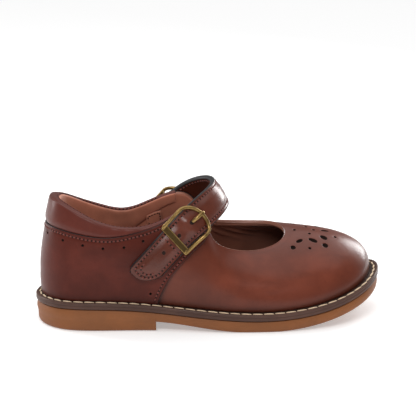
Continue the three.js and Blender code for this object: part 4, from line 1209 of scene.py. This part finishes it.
# Welt's profile from inside over its top and back underneath: inset from its edge, height over its top,
# and how much painted shade darkens the strip there: beside the upper, in the thread's channel, in its
# side's groove and underneath
WELT_PROFILE = {
    "inset": [14.0, 6.0, 3.3, 2.95, 2.55, 2.2, 1.85, 1.5, 1.2, 0.75, 0.35,
              0.1, 0.0, 0.03, 0.16, 0.03, 0.0, 0.05, 0.25, 0.7, 3.0, 14.0],
    "rise": [0.0, 0.0, 0.0, -0.12, -0.42, -0.45, -0.4, -0.12, -0.02, -0.02, -0.16,
             -0.45, -0.8, -1.3, -1.55, -1.8, -2.3, -2.8, -3.15, -3.38, -3.4, -3.4],
    "dark": [0, 0, 0.9, 0.8, 0.8, 0.8, 0.8, 0.5, 0.05, 0.05, 0.05,
             0.05, 0.05, 0.05, 0.5, 0.05, 0.05, 0.05, 0.05, 0.4, 0.6, 0.6],
}


def welt_surface():
    """Welt: one closed profile carried round the plan, with the thread's channel in its top."""
    place = round_places(480)
    rings = outline_rings(place, zip(WELT_PROFILE["inset"], WELT_PROFILE["rise"]))
    # Painted shade from the profile's table
    dark = np.array(WELT_PROFILE["dark"])[:, None] + np.zeros(len(place))
    return grid(np.array(rings), True, True, burnish=dark).outward()


def welt_stitch_surface(pitch, width):
    """The welt's thread: a slightly slanted bead a stitch, in the channel round the plan."""
    inset, sunk, slant = 2.2, 0.15, 0.1
    place = round_places(640)
    line, _ = outline(place, np.full(place.shape, inset))
    line[:, 2] = seat_height(line[:, 0]) - sunk
    middle, along, _ = even_line(line, pitch, closed=True)
    ups = np.broadcast_to([0.0, 0.0, 1.0], along.shape)
    along = unit(along - np.cross(ups, along) * slant)
    return beads(middle, along, ups, pitch * 0.9, width, width * 0.8, 0, 12, 12)


# The sole's blocks in millimetres: where the heel ends, how far the sides stand in, their bulge and taper,
# and the tread's pitch and depth
HEEL_END = 56.2
SOLE_UNDERCUT = 0.9
SOLE_BULGE = 0.5
BULGE_HEIGHT = 5.5
HEEL_TAPER = 0.25
TREAD_PITCH = 3.4
TREAD_DEPTH = 0.45


def tread(point):
    """How far the underside is cut up: shallow ribs across the sole, bent back from its middle."""
    bent = point[..., 0] + 0.4 * np.abs(point[..., 1])
    return TREAD_DEPTH * soft_step(np.sin(bent * 2 * np.pi / TREAD_PITCH), 0.1, 0.7)


def sole_block(place, is_heel):
    """One block of the sole: a lid, rings down its side, a treaded underside and a flat end wall.

    A ring is the plan moved in by the undercut, less a sine's bulge, plus a circle's round at the low edge.
    Lid and underside are rings drawn together on the block's middle line.
    """
    edge, steps = (2.4, 26) if is_heel else (1.1, 16)

    def underside(x):
        return 0 * x if is_heel else underside_height(x)

    base, _ = outline(place, np.full(place.shape, SOLE_UNDERCUT))
    top = seat_height(base[:, 0]) - WELT_THICKNESS - GAP
    under = underside(base[:, 0])
    rings = []
    for share in np.linspace(0, 1, steps):
        height = top + (under - top) * share
        depth = top - height
        bulge = SOLE_BULGE * np.sin(np.pi * np.clip(depth / BULGE_HEIGHT, 0, 1)) ** 1.2
        near = np.clip(1 - (height - under) / edge, 0, 1)
        round_off = 0.85 * edge * (1 - np.sqrt(1 - near**2))
        taper = HEEL_TAPER * soft_step(depth, 5, 11) * is_heel
        ring, _ = outline(place, SOLE_UNDERCUT - bulge + round_off + taper)
        if is_heel:
            ring[:, 0] = np.minimum(ring[:, 0], HEEL_END)
        ring[:, 2] = height
        rings.append(ring)
    mouth, foot = rings[0], rings[-1]
    lid = [mouth + (mouth[::-1] - mouth) / 2 * share for share in (1.0, 0.5)]
    sole = []
    for share in (0.04, 0.1, 0.16, 0.3, 0.45, 0.6, 0.75, 0.9, 1.0):
        ring = foot + (foot[::-1] - foot) / 2 * share
        ring[:, 2] = underside(ring[:, 0]) + tread(ring) * soft_step(share, 0.08, 0.16)
        sole.append(ring)
    block = np.array(lid + rings + sole)
    across = np.linspace(0, 1, 12)[None, :, None]
    wall = grid(block[:, :1] + (block[:, -1:] - block[:, :1]) * across)
    ahead = np.array([1.0 if is_heel else -1.0, 0, 0])
    probe = 11 * 12 + 5
    return [grid(block).outward(), wall.facing(ahead, probe)]


def outsole_surfaces():
    """The heel's block and the forepart's slab, whose rear end stands inside the heel."""
    half, lap = OUTLINE_COUNT / 2, 4
    place = np.linspace(-half, half, 961)
    edge = outline(place, np.full(place.shape, SOLE_UNDERCUT))[0][:, 0]
    fore = place[edge > HEEL_END - lap]
    fore = np.concatenate([fore[fore > 0], fore[fore < 0] + OUTLINE_COUNT])
    return sole_block(place[edge < HEEL_END], True) + sole_block(fore, False)


# The strap's seam in from its edge, its dome's height and how far its edges round off, in millimetres
STRAP_SEAM = 1.9
STRAP_DOME = 0.62
STRAP_ROUND = 0.55


def strap_section():
    """The strap's section, from its face over its front edge, back and rear edge, as rows of values.

    width is the place across from -1 to 1. out is how far an edge's half circle stands out. level is 1 on
    the face and -1 behind. is_face marks the face. The finish of each gap between them comes last.
    """
    face, back = np.linspace(-1, 1, 27), np.linspace(1, -1, 27)
    edge = np.radians(np.linspace(90, -90, 9)[1:-1])
    width = np.concatenate([face, np.ones(7), back, -np.ones(7)])
    out = np.concatenate([0 * face, np.cos(edge), 0 * back, np.cos(edge)])
    level = np.concatenate([1 + 0 * face, np.sin(edge), -1 + 0 * back, -np.sin(edge)])
    is_face = np.arange(len(width)) < len(face)
    finish = np.concatenate([np.zeros(26), np.ones(10), np.full(22, 2), np.ones(10)]).astype(int)
    return width, out, level, is_face, finish


def strap_half(side):
    """Rows of the section from one tip to the crown, and how dark each point is painted: painted shade in
    the seam's trough and at the edges.
    """
    width, out, level, is_face, _ = strap_section()
    total = RULERS[side][1][-1]
    close = np.radians([90, 72, 52, 32, 14])
    rows = np.concatenate([np.linspace(0, 1.2, 7), np.linspace(1.6, 9, 22), np.linspace(9.6, total, 118)])
    squash = np.concatenate([np.cos(close), np.ones(len(rows))])[:, None]
    beyond = np.concatenate([-0.5 * np.sin(close), np.zeros(len(rows))])[:, None]
    distance = np.concatenate([np.zeros(len(close)), rows])[:, None]
    rear, ahead = strap_reach(distance)
    inset = np.sign(width) * (1 - out) * STRAP_ROUND * (np.abs(width) == 1)
    across = (rear + ahead) / 2 + (ahead - rear) / 2 * width - inset * squash
    to_edge = np.minimum(STRAP_WIDTH / 2 - np.abs(across), distance)
    to_edge = np.minimum(to_edge, tip_distance(distance, across))
    middle = STRAP_THICKNESS / 2
    height = strap_lift(side, distance) * (0.8 - 0.2 * level) + middle + level * middle * squash
    height = height + is_face * strap_relief(to_edge) * squash
    # Painted shade in the trough along each seam and at the face's edges
    seam = is_face * (0.32 * bell(to_edge - STRAP_SEAM, 0.6) + 0.35 * bell(to_edge, 0.5))
    return bed(side, distance + beyond, across, height), seam


def strap_surface():
    """Strap: a closed section, flat behind, domed and grooved in front, carried from tip to tip."""
    (outer, outer_seam), (inner, inner_seam) = strap_half(OUTER), strap_half(INNER)
    points = np.concatenate([outer, inner[::-1][1:]])
    seam = np.concatenate([outer_seam, inner_seam[::-1][1:]])
    return grid(points, closed_columns=True, finish=strap_section()[-1][None], burnish=seam).outward()


def strap_face(side, distance):
    """Height of the strap's flat face: it rises less over the hidden bar than the strap's back does."""
    return strap_lift(side, distance) * 0.6 + STRAP_THICKNESS


def strap_relief(to_edge):
    """Height of the strap's padded face over its flat one: a trough along the seam, a soft dome inside."""
    dome = STRAP_DOME * soft_step(to_edge, STRAP_SEAM, STRAP_SEAM + 3.4) + 0.1 * soft_step(to_edge, 0.2, 1.2)
    return dome - 0.22 * bell(to_edge - STRAP_SEAM, 0.5)


def tip_outline(inset):
    """The strap's outline round its tip moved in: from the rear edge round to the front edge."""
    half = STRAP_WIDTH / 2 - inset
    scale = half / (STRAP_WIDTH / 2)
    back = np.array(STRAP_TIP["back"]) * STRAP_WIDTH * scale + inset
    rear = np.stack([back[::-1], -np.array(STRAP_TIP["rear"])[::-1] * half], -1)
    front = np.stack([back, np.array(STRAP_TIP["front"]) * half], -1)
    return np.concatenate([rear, front])


def tip_distance(distance, across):
    """Rough distance in from the strap's slanted end."""
    line = tip_outline(0.0)
    a, b = line[:-1], line[1:]
    place = np.stack(np.broadcast_arrays(distance, across), -1)[..., None, :]
    way = b - a
    share = np.clip(((place - a) * way).sum(-1) / np.maximum((way * way).sum(-1), 1e-9), 0, 1)
    return np.linalg.norm(place - a - way * share[..., None], axis=-1).min(-1)


def strap_paths(side):
    """Paths of the stitch rows, distance and place across: round the edges, inside the tip, and across."""
    half = STRAP_WIDTH / 2 - STRAP_SEAM
    tip = tip_outline(STRAP_SEAM)
    far = np.linspace(tip[0, 0], RULERS[side][1][-1], 90)[1:]
    rear_edge = np.stack([far[::-1], 0 * far - half], -1)
    front_edge = np.stack([far, 0 * far + half], -1)
    cross = np.stack([np.full(20, KEEPER_AT[side] - 3.4), np.linspace(-half + 0.8, half - 0.8, 20)], -1)
    return np.concatenate([rear_edge, tip, front_edge]), tip_outline(STRAP_SEAM + 1.9), cross


def strap_lines():
    """Rows of stitches on the strap's face, and those along both edges of its back near the crown."""
    under_crown = 30
    rows = []
    for side in (OUTER, INNER):
        for order, path in enumerate(strap_paths(side)):
            distance, across = even_line(path, 0.5)[0].T
            to_edge = np.minimum(STRAP_WIDTH / 2 - np.abs(across), tip_distance(distance, across))
            height = strap_face(side, distance) + strap_relief(to_edge) + 0.04
            points = bed(side, distance, across, height)
            ups = unit(bed(side, distance, across, height + 1) - points)
            rows.append((points, ups))
            if order == 0:
                under = distance > RULERS[side][1][-1] - under_crown
                for edge in (across < 0, across > 0):
                    part = under & edge
                    low = bed(side, distance[part], across[part], strap_lift(side, distance[part]) - 0.06)
                    rows.append((low, -ups[part]))
    return rows


def strap_hole_surfaces(finish_leather, finish_hole):
    """Round holes of the strap: rings of a slightly raised rim of leather, and of a disc of painted shade in
    it.
    """
    rim = np.array([(2.0, 0.03), (1.45, 0.035), (1.18, 0.02), (1.0, -0.06)])
    disc = np.array([(1.0, 0.01), (0.9, 0.045), (0.0, 0.048)])
    turn = np.arange(24) / 24 * 2 * np.pi
    surfaces = []
    for side in (OUTER, INNER):
        keeper = KEEPER_AT[side]
        spots = [(keeper - 8.2, 0.9, 1.0), (keeper + 2.6, 0.9, 1.0), (keeper + BAR_REACH + 1.9, 1.05, 1.25)]
        for at, radius, stretch in spots:
            up = bed(side, at, 0.0, 5.0) - bed(side, at, 0.0, 0.0)
            for rings, finish in ((rim, finish_leather), (disc, finish_hole)):
                grow, lift = rings[:, :1], rings[:, 1:]
                distance = at + radius * stretch * grow * np.cos(turn)
                across = radius * grow * np.sin(turn)
                height = strap_face(side, distance) + STRAP_DOME + 0.1 + lift
                points = bed(side, distance, across, height)
                surfaces.append(grid(points, closed_columns=True, finish=finish).facing(up))
    return surfaces


# Sizes of both buckles and their prongs in millimetres
FRAME_WIDE = 1.5
FRAME_THICK = 1.6
KEEPER_WIDE = 3.15
KEEPER_THICK = 1.5
PANEL_DEPTH = 0.22
PANEL_INSET = 1.2
POST_WIDE = 1.1
BUCKLE_REACH = 16.8
FRAME_HALF = STRAP_WIDTH / 2 + 0.2 + FRAME_WIDE / 2
SHOULDER = BUCKLE_REACH - FRAME_HALF * 0.85
PRONG_WIDE = 1.7
PRONG_THICK = 1.3


def frame_height(side, along):
    """Height of the buckle's frame over the strap's bed: level over the face, tilted up over the lift."""
    level = STRAP_THICKNESS + GAP + FRAME_THICK / 2
    shoulder = strap_lift(side, KEEPER_AT[side] + SHOULDER) * along / SHOULDER
    return level + np.where(along < SHOULDER, shoulder, strap_lift(side, KEEPER_AT[side] + along))


def on_bed(side, along, across, height):
    """Points on the strap's bed from the keeper, with the direction off it."""
    distance = KEEPER_AT[side] + along
    height = np.asarray(height)
    up = unit(bed(side, distance, across, height + 1) - bed(side, distance, across, height - 1))
    return bed(side, distance, across, height), up


def frame_surface(side):
    """Frame: an oval rod along a rail, half an ellipse (cos a, sin a) and a rail back."""
    rail = np.linspace(0, SHOULDER, 22)[:-1]
    arc = np.linspace(0, np.pi, 44)
    along = np.concatenate([rail, SHOULDER + (BUCKLE_REACH - SHOULDER) * np.sin(arc), rail[::-1]])
    across = np.concatenate([0 * rail - FRAME_HALF, -FRAME_HALF * np.cos(arc), 0 * rail + FRAME_HALF])
    points, ups = on_bed(side, along, across, frame_height(side, along))
    return tube(points, ups, FRAME_WIDE * 1.2, FRAME_THICK * 1.05, 18)


def keeper_surface(side):
    """Keeper bar: a rounded oblong section, |cos a|^0.4 by |sin a|^0.5, a plain panel sunk in its face."""
    half = FRAME_HALF + FRAME_WIDE * 0.45
    end_length = 0.5
    inner = np.linspace(-half, half, 34) * (1 - end_length / half)
    row, girth, beyond = rounded(len(inner), [90, 66, 42, 20])
    line = (inner[row] + end_length * beyond)[:, None]
    squash = girth[:, None]
    turn = np.arange(28) / 28 * 2 * np.pi
    wide = np.sign(np.cos(turn)) * np.abs(np.cos(turn)) ** 0.4 * KEEPER_WIDE / 2
    tall = np.sign(np.sin(turn)) * np.abs(np.sin(turn)) ** 0.5 * KEEPER_THICK / 2
    on_face = soft_step(0.66 - np.abs(np.cos(turn)), 0, 0.12) * (np.sin(turn) > 0)
    panel = soft_step(half - PANEL_INSET - np.abs(line), 0, 0.3) * on_face
    middle = STRAP_THICKNESS + GAP + KEEPER_THICK / 2
    height = middle + tall * squash - PANEL_DEPTH * panel
    points, _ = on_bed(side, wide * squash, line + 0 * wide, height)
    sunk = (panel[:-1] > 0.5) & (panel[1:] > 0.5)
    sunk = sunk & np.roll(sunk, -1, 1)
    return grid(points, closed_columns=True, finish=sunk.astype(int)).outward()


def hidden_bar_surfaces(side):
    """Centre bar behind the strap: a round rod across, and at each end one up to the frame."""
    line = np.linspace(-FRAME_HALF, FRAME_HALF, 12)
    points, ups = on_bed(side, BAR_REACH + 0 * line, line, BAR_RADIUS + 0 * line)
    rods = [tube(points, ups, BAR_RADIUS * 2, BAR_RADIUS * 2, 12)]
    rise = np.linspace(BAR_RADIUS, float(frame_height(side, np.array(BAR_REACH))), 6)
    for end in (-FRAME_HALF, FRAME_HALF):
        points, ups = on_bed(side, BAR_REACH + 0 * rise, end + 0 * rise, rise)
        sideways = unit(np.cross(ups, [0.0, 0.3, 1.0]))
        rods.append(tube(points, sideways, POST_WIDE, POST_WIDE, 12))
    return rods


def buckle_surfaces(side):
    """Frame, keeper bar and hidden bar."""
    return [frame_surface(side), keeper_surface(side)] + hidden_bar_surfaces(side)


def prong_surfaces(side):
    """Prong: a tapering oval rod that climbs out of the front of its slot and lies over the frame's arc."""
    low = BAR_RADIUS * 2 + GAP + PRONG_THICK / 2
    top = STRAP_THICKNESS + FRAME_THICK + GAP * 2 + PRONG_THICK / 2
    end = BUCKLE_REACH - BAR_REACH
    climb = [(0.2, low), (1.5, low + 0.3), (2.3, low + 1.6), (3.0, top - 0.7), (4.2, top - 0.1), (5.6, top)]
    ends = end + FRAME_WIDE * np.array([-0.5, 0.05, 0.4])
    rows = np.array(climb + [(ends[0], top), (ends[1], top - 0.15), (ends[2], top - 0.6)])
    at = np.linspace(0, len(rows) - 1, 56)
    path = spline(rows, False)(at)
    points, ups = on_bed(side, BAR_REACH + path[:, 0], 0 * at, path[:, 1])
    share = np.linspace(0, 1, len(at))
    wide = PRONG_WIDE * (1.16 - 0.22 * share)
    return [tube(points, ups, wide, PRONG_THICK * (1.05 - 0.2 * share), 18)]


# Colours of the leathers, threads, edges and metals, as shares of red, green and blue light
VAMP_COLOUR = (0.155, 0.034, 0.017)
QUARTER_COLOUR = (0.095, 0.018, 0.011)
COLLAR_COLOUR = (0.11, 0.023, 0.015)
LINING_COLOUR = (0.36, 0.13, 0.078)
# The throat's cut edge: the raw edge's lighter colour, raised further as a painted highlight
CUT_EDGE_AND_HIGHLIGHT = (0.3, 0.125, 0.085)
GUM_COLOUR = (0.235, 0.078, 0.02)
WELT_COLOUR = (0.085, 0.042, 0.031)
CREAM = (0.88, 0.66, 0.44)
RED_BROWN = (0.19, 0.042, 0.03)
EDGE_BLACK = (0.015, 0.013, 0.014)
# Painted shade for the insides of holes and needle holes
HOLE_SHADE_BLACK = (0.016, 0.009, 0.007)
BRASS = (0.33, 0.21, 0.075)
TARNISH = (0.1, 0.055, 0.02)


class ShoeLeather(bpy.types.PropertyGroup):
    """Leather parts of the shoe."""

    polish: bpy.props.FloatProperty(
        name="Polish", description="Roughness of the outer leather", default=0.33,
        min=0.1, max=0.8, subtype="FACTOR")
    stitch_pitch: bpy.props.FloatProperty(
        name="Stitch pitch", description="Distance between two fine stitches", default=0.0019,
        min=0.001, max=0.005, unit="LENGTH")
    stitch_width: bpy.props.FloatProperty(
        name="Stitch width", description="Thickness of the fine thread", default=0.00078,
        min=0.0002, max=0.002, unit="LENGTH")


class ShoeSole(bpy.types.PropertyGroup):
    """Sole parts of the shoe."""

    stitch_pitch: bpy.props.FloatProperty(
        name="Welt stitch pitch", description="Distance between two welt stitches", default=0.0054,
        min=0.002, max=0.01, unit="LENGTH")
    stitch_width: bpy.props.FloatProperty(
        name="Welt stitch width", description="Thickness of the welt's thread", default=0.0009,
        min=0.0004, max=0.002, unit="LENGTH")


class ShoeStage(bpy.types.PropertyGroup):
    """Camera and light."""

    azimuth: bpy.props.FloatProperty(
        name="Azimuth", description="Camera's angle round the shoe", default=np.radians(-7.0),
        subtype="ANGLE")
    elevation: bpy.props.FloatProperty(
        name="Elevation", description="Camera's angle over the floor", default=np.radians(15.0),
        subtype="ANGLE")
    key_power: bpy.props.FloatProperty(
        name="Key light", description="Power of the main soft light in watts", default=9.0, min=0, max=100)


def in_millimetres(length):
    """A property's metres as millimetres."""
    return length / MILLIMETRE


class BuildUpper(bpy.types.Operator):
    """Build the vamp with its lining and the ornament's holes."""

    bl_idname = "shoe.upper"
    bl_label = "Upper"

    def execute(self, context):
        polish = context.scene.shoe_leather.polish
        vamp = leather("vamp_leather", VAMP_COLOUR, polish, shine=1.15)
        lining = lining_leather("lining_leather", LINING_COLOUR)
        dark = painted_hole_shade("ornament_hole_shade", HOLE_SHADE_BLACK)
        # Rim finish: raw edge colour plus painted highlight
        cut = leather("cut_edge_and_highlight", CUT_EDGE_AND_HIGHLIGHT, 0.4, depth=0.6, variety=0.5)
        holes = medallion_holes()
        surfaces = upper_surfaces(holes)
        for hole in holes:
            surfaces.append(hole.lining(0.0, 1.3, leather_finish=0, hole_finish=2))
        tab, tab_row = lining_tab()
        surfaces += [tab, lining_edge()]
        put_piece("upper_skin", surfaces, [vamp, lining, dark, cut], ["upper"])
        twist = thread("lining_thread", tone(LINING_COLOUR, 0.6), 0.3)
        rows = stitches(tab_row, 1.5, 0.9, 0.5)
        put_piece("lining_stitches", rows, [twist, dark])
        return {"FINISHED"}


class BuildQuarter(bpy.types.Operator):
    """Build the quarter's sheet with its pinholes and rows of stitches."""

    bl_idname = "shoe.quarter"
    bl_label = "Quarter"

    def execute(self, context):
        sizes = context.scene.shoe_leather
        face = leather("quarter_leather", QUARTER_COLOUR, sizes.polish, shine=0.6)
        edge = edge_paint("quarter_edge", EDGE_BLACK)
        dark = painted_hole_shade("quarter_pinhole_shade", HOLE_SHADE_BLACK)
        holes = pinholes()
        surfaces = [quarter_surface(holes)]
        for hole in holes:
            surfaces.append(hole.lining(OUTER_FACE, 1.0, leather_finish=0, hole_finish=2, reach=0.9))
        put_piece("quarter_skin", surfaces, [face, edge, dark], ["quarter"])
        pitch, width = in_millimetres(sizes.stitch_pitch), in_millimetres(sizes.stitch_width)
        rows = stitches(quarter_rows(), pitch, pitch * 0.6, width)
        twist = thread("upper_thread", RED_BROWN, 0.4)
        put_piece("quarter_stitches", rows, [twist, dark])
        return {"FINISHED"}


class BuildCollar(bpy.types.Operator):
    """Build the padded collar."""

    bl_idname = "shoe.collar"
    bl_label = "Collar"

    def execute(self, context):
        sizes = context.scene.shoe_leather
        smooth = leather("collar_leather", COLLAR_COLOUR, sizes.polish + 0.07, depth=0.6, variety=0.6)
        inside = lining_leather("collar_lining", LINING_COLOUR)
        collar = put_piece("collar_skin", [collar_surface()], [smooth, inside], ["collar"])
        pitch, width = in_millimetres(sizes.stitch_pitch), in_millimetres(sizes.stitch_width)
        twist = thread("collar_thread", RED_BROWN, 0.4)
        dark = painted_hole_shade("collar_needle_hole_shade", HOLE_SHADE_BLACK)
        rows = stitches(collar_row(), pitch, pitch * 0.6, width * 0.8)
        put_piece("collar_stitches", rows, [twist, dark])
        return {"FINISHED"}


class BuildStrap(bpy.types.Operator):
    """Build the T-strap over the instep with its stitches and holes."""

    bl_idname = "shoe.strap"
    bl_label = "Strap"

    def execute(self, context):
        sizes = context.scene.shoe_leather
        face = leather("strap_leather", tone(VAMP_COLOUR, 0.72), sizes.polish - 0.04, shine=1.6)
        edge = edge_paint("strap_edge", EDGE_BLACK)
        back = leather("strap_lining", tone(VAMP_COLOUR, 0.45), 0.5, variety=0.6)
        dark = painted_hole_shade("strap_hole_shade", HOLE_SHADE_BLACK)
        surfaces = [strap_surface()] + strap_hole_surfaces(0, 3)
        put_piece("strap_skin", surfaces, [face, edge, back, dark], ["strap"])
        pitch, width = in_millimetres(sizes.stitch_pitch), in_millimetres(sizes.stitch_width)
        rows = stitches(strap_lines(), pitch, pitch * 0.6, width)
        twist = thread("strap_thread", RED_BROWN, 0.4)
        put_piece("strap_stitches", rows, [twist, dark])
        return {"FINISHED"}


class BuildBuckles(bpy.types.Operator):
    """Build both buckles and their prongs."""

    bl_idname = "shoe.buckles"
    bl_label = "Buckles"

    def execute(self, context):
        brass = antique_brass("antique_brass", BRASS, TARNISH)
        worn = antique_brass("keeper_panel", tone(BRASS, 0.35), tone(TARNISH, 0.4))
        for side, word in ((OUTER, "lateral"), (INNER, "medial")):
            buckle, prong = "buckle_" + word, "prong_" + word
            finishes = [brass, worn]
            put_piece("buckle_skin_" + word, buckle_surfaces(side), finishes, [buckle])
            put_piece("prong_skin_" + word, prong_surfaces(side), [brass], [prong])
        return {"FINISHED"}


class BuildSole(bpy.types.Operator):
    """Build the insole, the stitched welt and the gum sole."""

    bl_idname = "shoe.sole"
    bl_label = "Sole"

    def execute(self, context):
        sizes = context.scene.shoe_sole
        sock = lining_leather("insole_leather", tone(LINING_COLOUR, 0.3))
        put_piece("insole_skin", [insole_surface()], [sock], ["insole"])
        strip = leather("welt_leather", WELT_COLOUR, 0.62, depth=1.2, variety=0.8)
        put_piece("welt_skin", [welt_surface()], [strip], ["welt"])
        gum = rubber("gum_rubber", GUM_COLOUR, 0.1)
        put_piece("outsole_skin", outsole_surfaces(), [gum], ["outsole"])
        pitch, width = in_millimetres(sizes.stitch_pitch), in_millimetres(sizes.stitch_width)
        cream = thread("welt_thread", CREAM, 0.35)
        put_piece("welt_stitches", [welt_stitch_surface(pitch, width)], [cream])
        return {"FINISHED"}


# Each lamp: its place and the point it faces in metres, its sides in metres, its power in shares of the key
AIM = (0.0016, 0.0017286, 0.030)
LAMPS = {
    "sky_box": ((0.0, 0.8, 2.2), (0.0, 0.8, 0.0), (3.4, 3.4), 4.4),
    "right_box": ((0.46, 0.42, 0.27), AIM, (0.2, 0.4), 0.3),
    "left_box": ((-0.5, 0.3, 0.24), AIM, (0.14, 0.4), 0.14),
    "front_box": ((-0.2, -0.68, 0.68), AIM, (0.5, 0.26), 0.42),
}
CAMERA = {"sensor_width": 36, "lens": 176.2, "shift_x": -0.0102, "shift_y": 0.1123, "clip_start": 0.02}
WORLD_LIGHT = 0.28
PAPER_LIGHT = 0.36


def soft_light(name, place, aim, size, power):
    """Oblong area lamp turned to a point."""
    lamp = bpy.data.lights.new(name, "AREA")
    lamp.shape = "RECTANGLE"
    lamp.size, lamp.size_y = size
    lamp.energy = power
    thing = bpy.data.objects.new(name, lamp)
    bpy.context.scene.collection.objects.link(thing)
    thing.location = place
    thing.rotation_euler = (Vector(aim) - Vector(place)).to_track_quat("-Z", "Y").to_euler()
    return thing


def paper_floor():
    """White paper under the shoe, faintly lit from within so that it stays pale."""
    paper = Finish("floor_paper", Roughness=0.9, Specular_IOR_Level=0.1)
    cloud = paper.noise(1.2, 2)
    paper.join(Base_Color=paper.mix(cloud, (0.78, 0.78, 0.78), (0.8, 0.8, 0.8)),
               Emission_Color=(1, 1, 1, 1), Emission_Strength=PAPER_LIGHT)
    mesh = bpy.data.meshes.new("floor")
    mesh.from_pydata([(-4, -4, 0), (4, -4, 0), (4, 4, 0), (-4, 4, 0)], [], [(0, 1, 2, 3)])
    mesh.materials.append(paper.material)
    floor = bpy.data.objects.new("floor", mesh)
    bpy.context.scene.collection.objects.link(floor)
    return floor


def white_world():
    """Even white light from all round."""
    world = bpy.data.worlds.new("studio")
    world.use_nodes = True
    background = world.node_tree.nodes["Background"]
    background.inputs["Color"].default_value = (1, 1, 1, 1)
    background.inputs["Strength"].default_value = WORLD_LIGHT
    return world


def long_lens(turn, rise):
    """Camera a metre from the shoe, at an angle round it and one over the floor."""
    back = Vector((np.sin(turn) * np.cos(rise), -np.cos(turn) * np.cos(rise), np.sin(rise)))
    camera = bpy.data.cameras.new("camera")
    for name, value in CAMERA.items():
        setattr(camera, name, value)
    eye = bpy.data.objects.new("camera", camera)
    bpy.context.scene.collection.objects.link(eye)
    eye.location = Vector(AIM) + back
    eye.rotation_euler = (-back).to_track_quat("-Z", "Y").to_euler()
    return eye


class SetStage(bpy.types.Operator):
    """Set the floor, the soft light and the camera."""

    bl_idname = "shoe.stage"
    bl_label = "Stage"

    def execute(self, context):
        scene, stage = context.scene, context.scene.shoe_stage
        paper_floor()
        scene.world = white_world()
        scene.view_settings.view_transform = "Standard"
        for name, (place, aim, size, share) in LAMPS.items():
            soft_light(name, place, aim, size, stage.key_power * share)
        scene.camera = long_lens(stage.azimuth, stage.elevation)
        return {"FINISHED"}


class ShoePanel(bpy.types.Panel):
    """Sizes and steps of the shoe in the sidebar."""

    bl_idname = "VIEW3D_PT_shoe"
    bl_label = "Mary jane shoe"
    bl_space_type = "VIEW_3D"
    bl_region_type = "UI"
    bl_category = "Shoe"

    def draw(self, context):
        layout = self.layout
        for name in ("shoe_leather", "shoe_sole", "shoe_stage"):
            group = getattr(context.scene, name)
            box = layout.box()
            for key in group.__annotations__:
                box.prop(group, key)
        for step in STEPS:
            layout.operator(step.bl_idname)


STEPS = (BuildUpper, BuildQuarter, BuildCollar, BuildStrap, BuildBuckles, BuildSole, SetStage)
GROUPS = {"shoe_leather": ShoeLeather, "shoe_sole": ShoeSole, "shoe_stage": ShoeStage}


def register():
    for kind in (*GROUPS.values(), *STEPS, ShoePanel):
        bpy.utils.register_class(kind)
    for name, group in GROUPS.items():
        setattr(bpy.types.Scene, name, bpy.props.PointerProperty(type=group))


def unregister():
    for name in GROUPS:
        delattr(bpy.types.Scene, name)
    for kind in (ShoePanel, *STEPS[::-1], *GROUPS.values()):
        bpy.utils.unregister_class(kind)


def main():
    register()
    for step in STEPS:
        group, name = step.bl_idname.split(".")
        getattr(getattr(bpy.ops, group), name)()


if __name__ == "__main__":
    main()
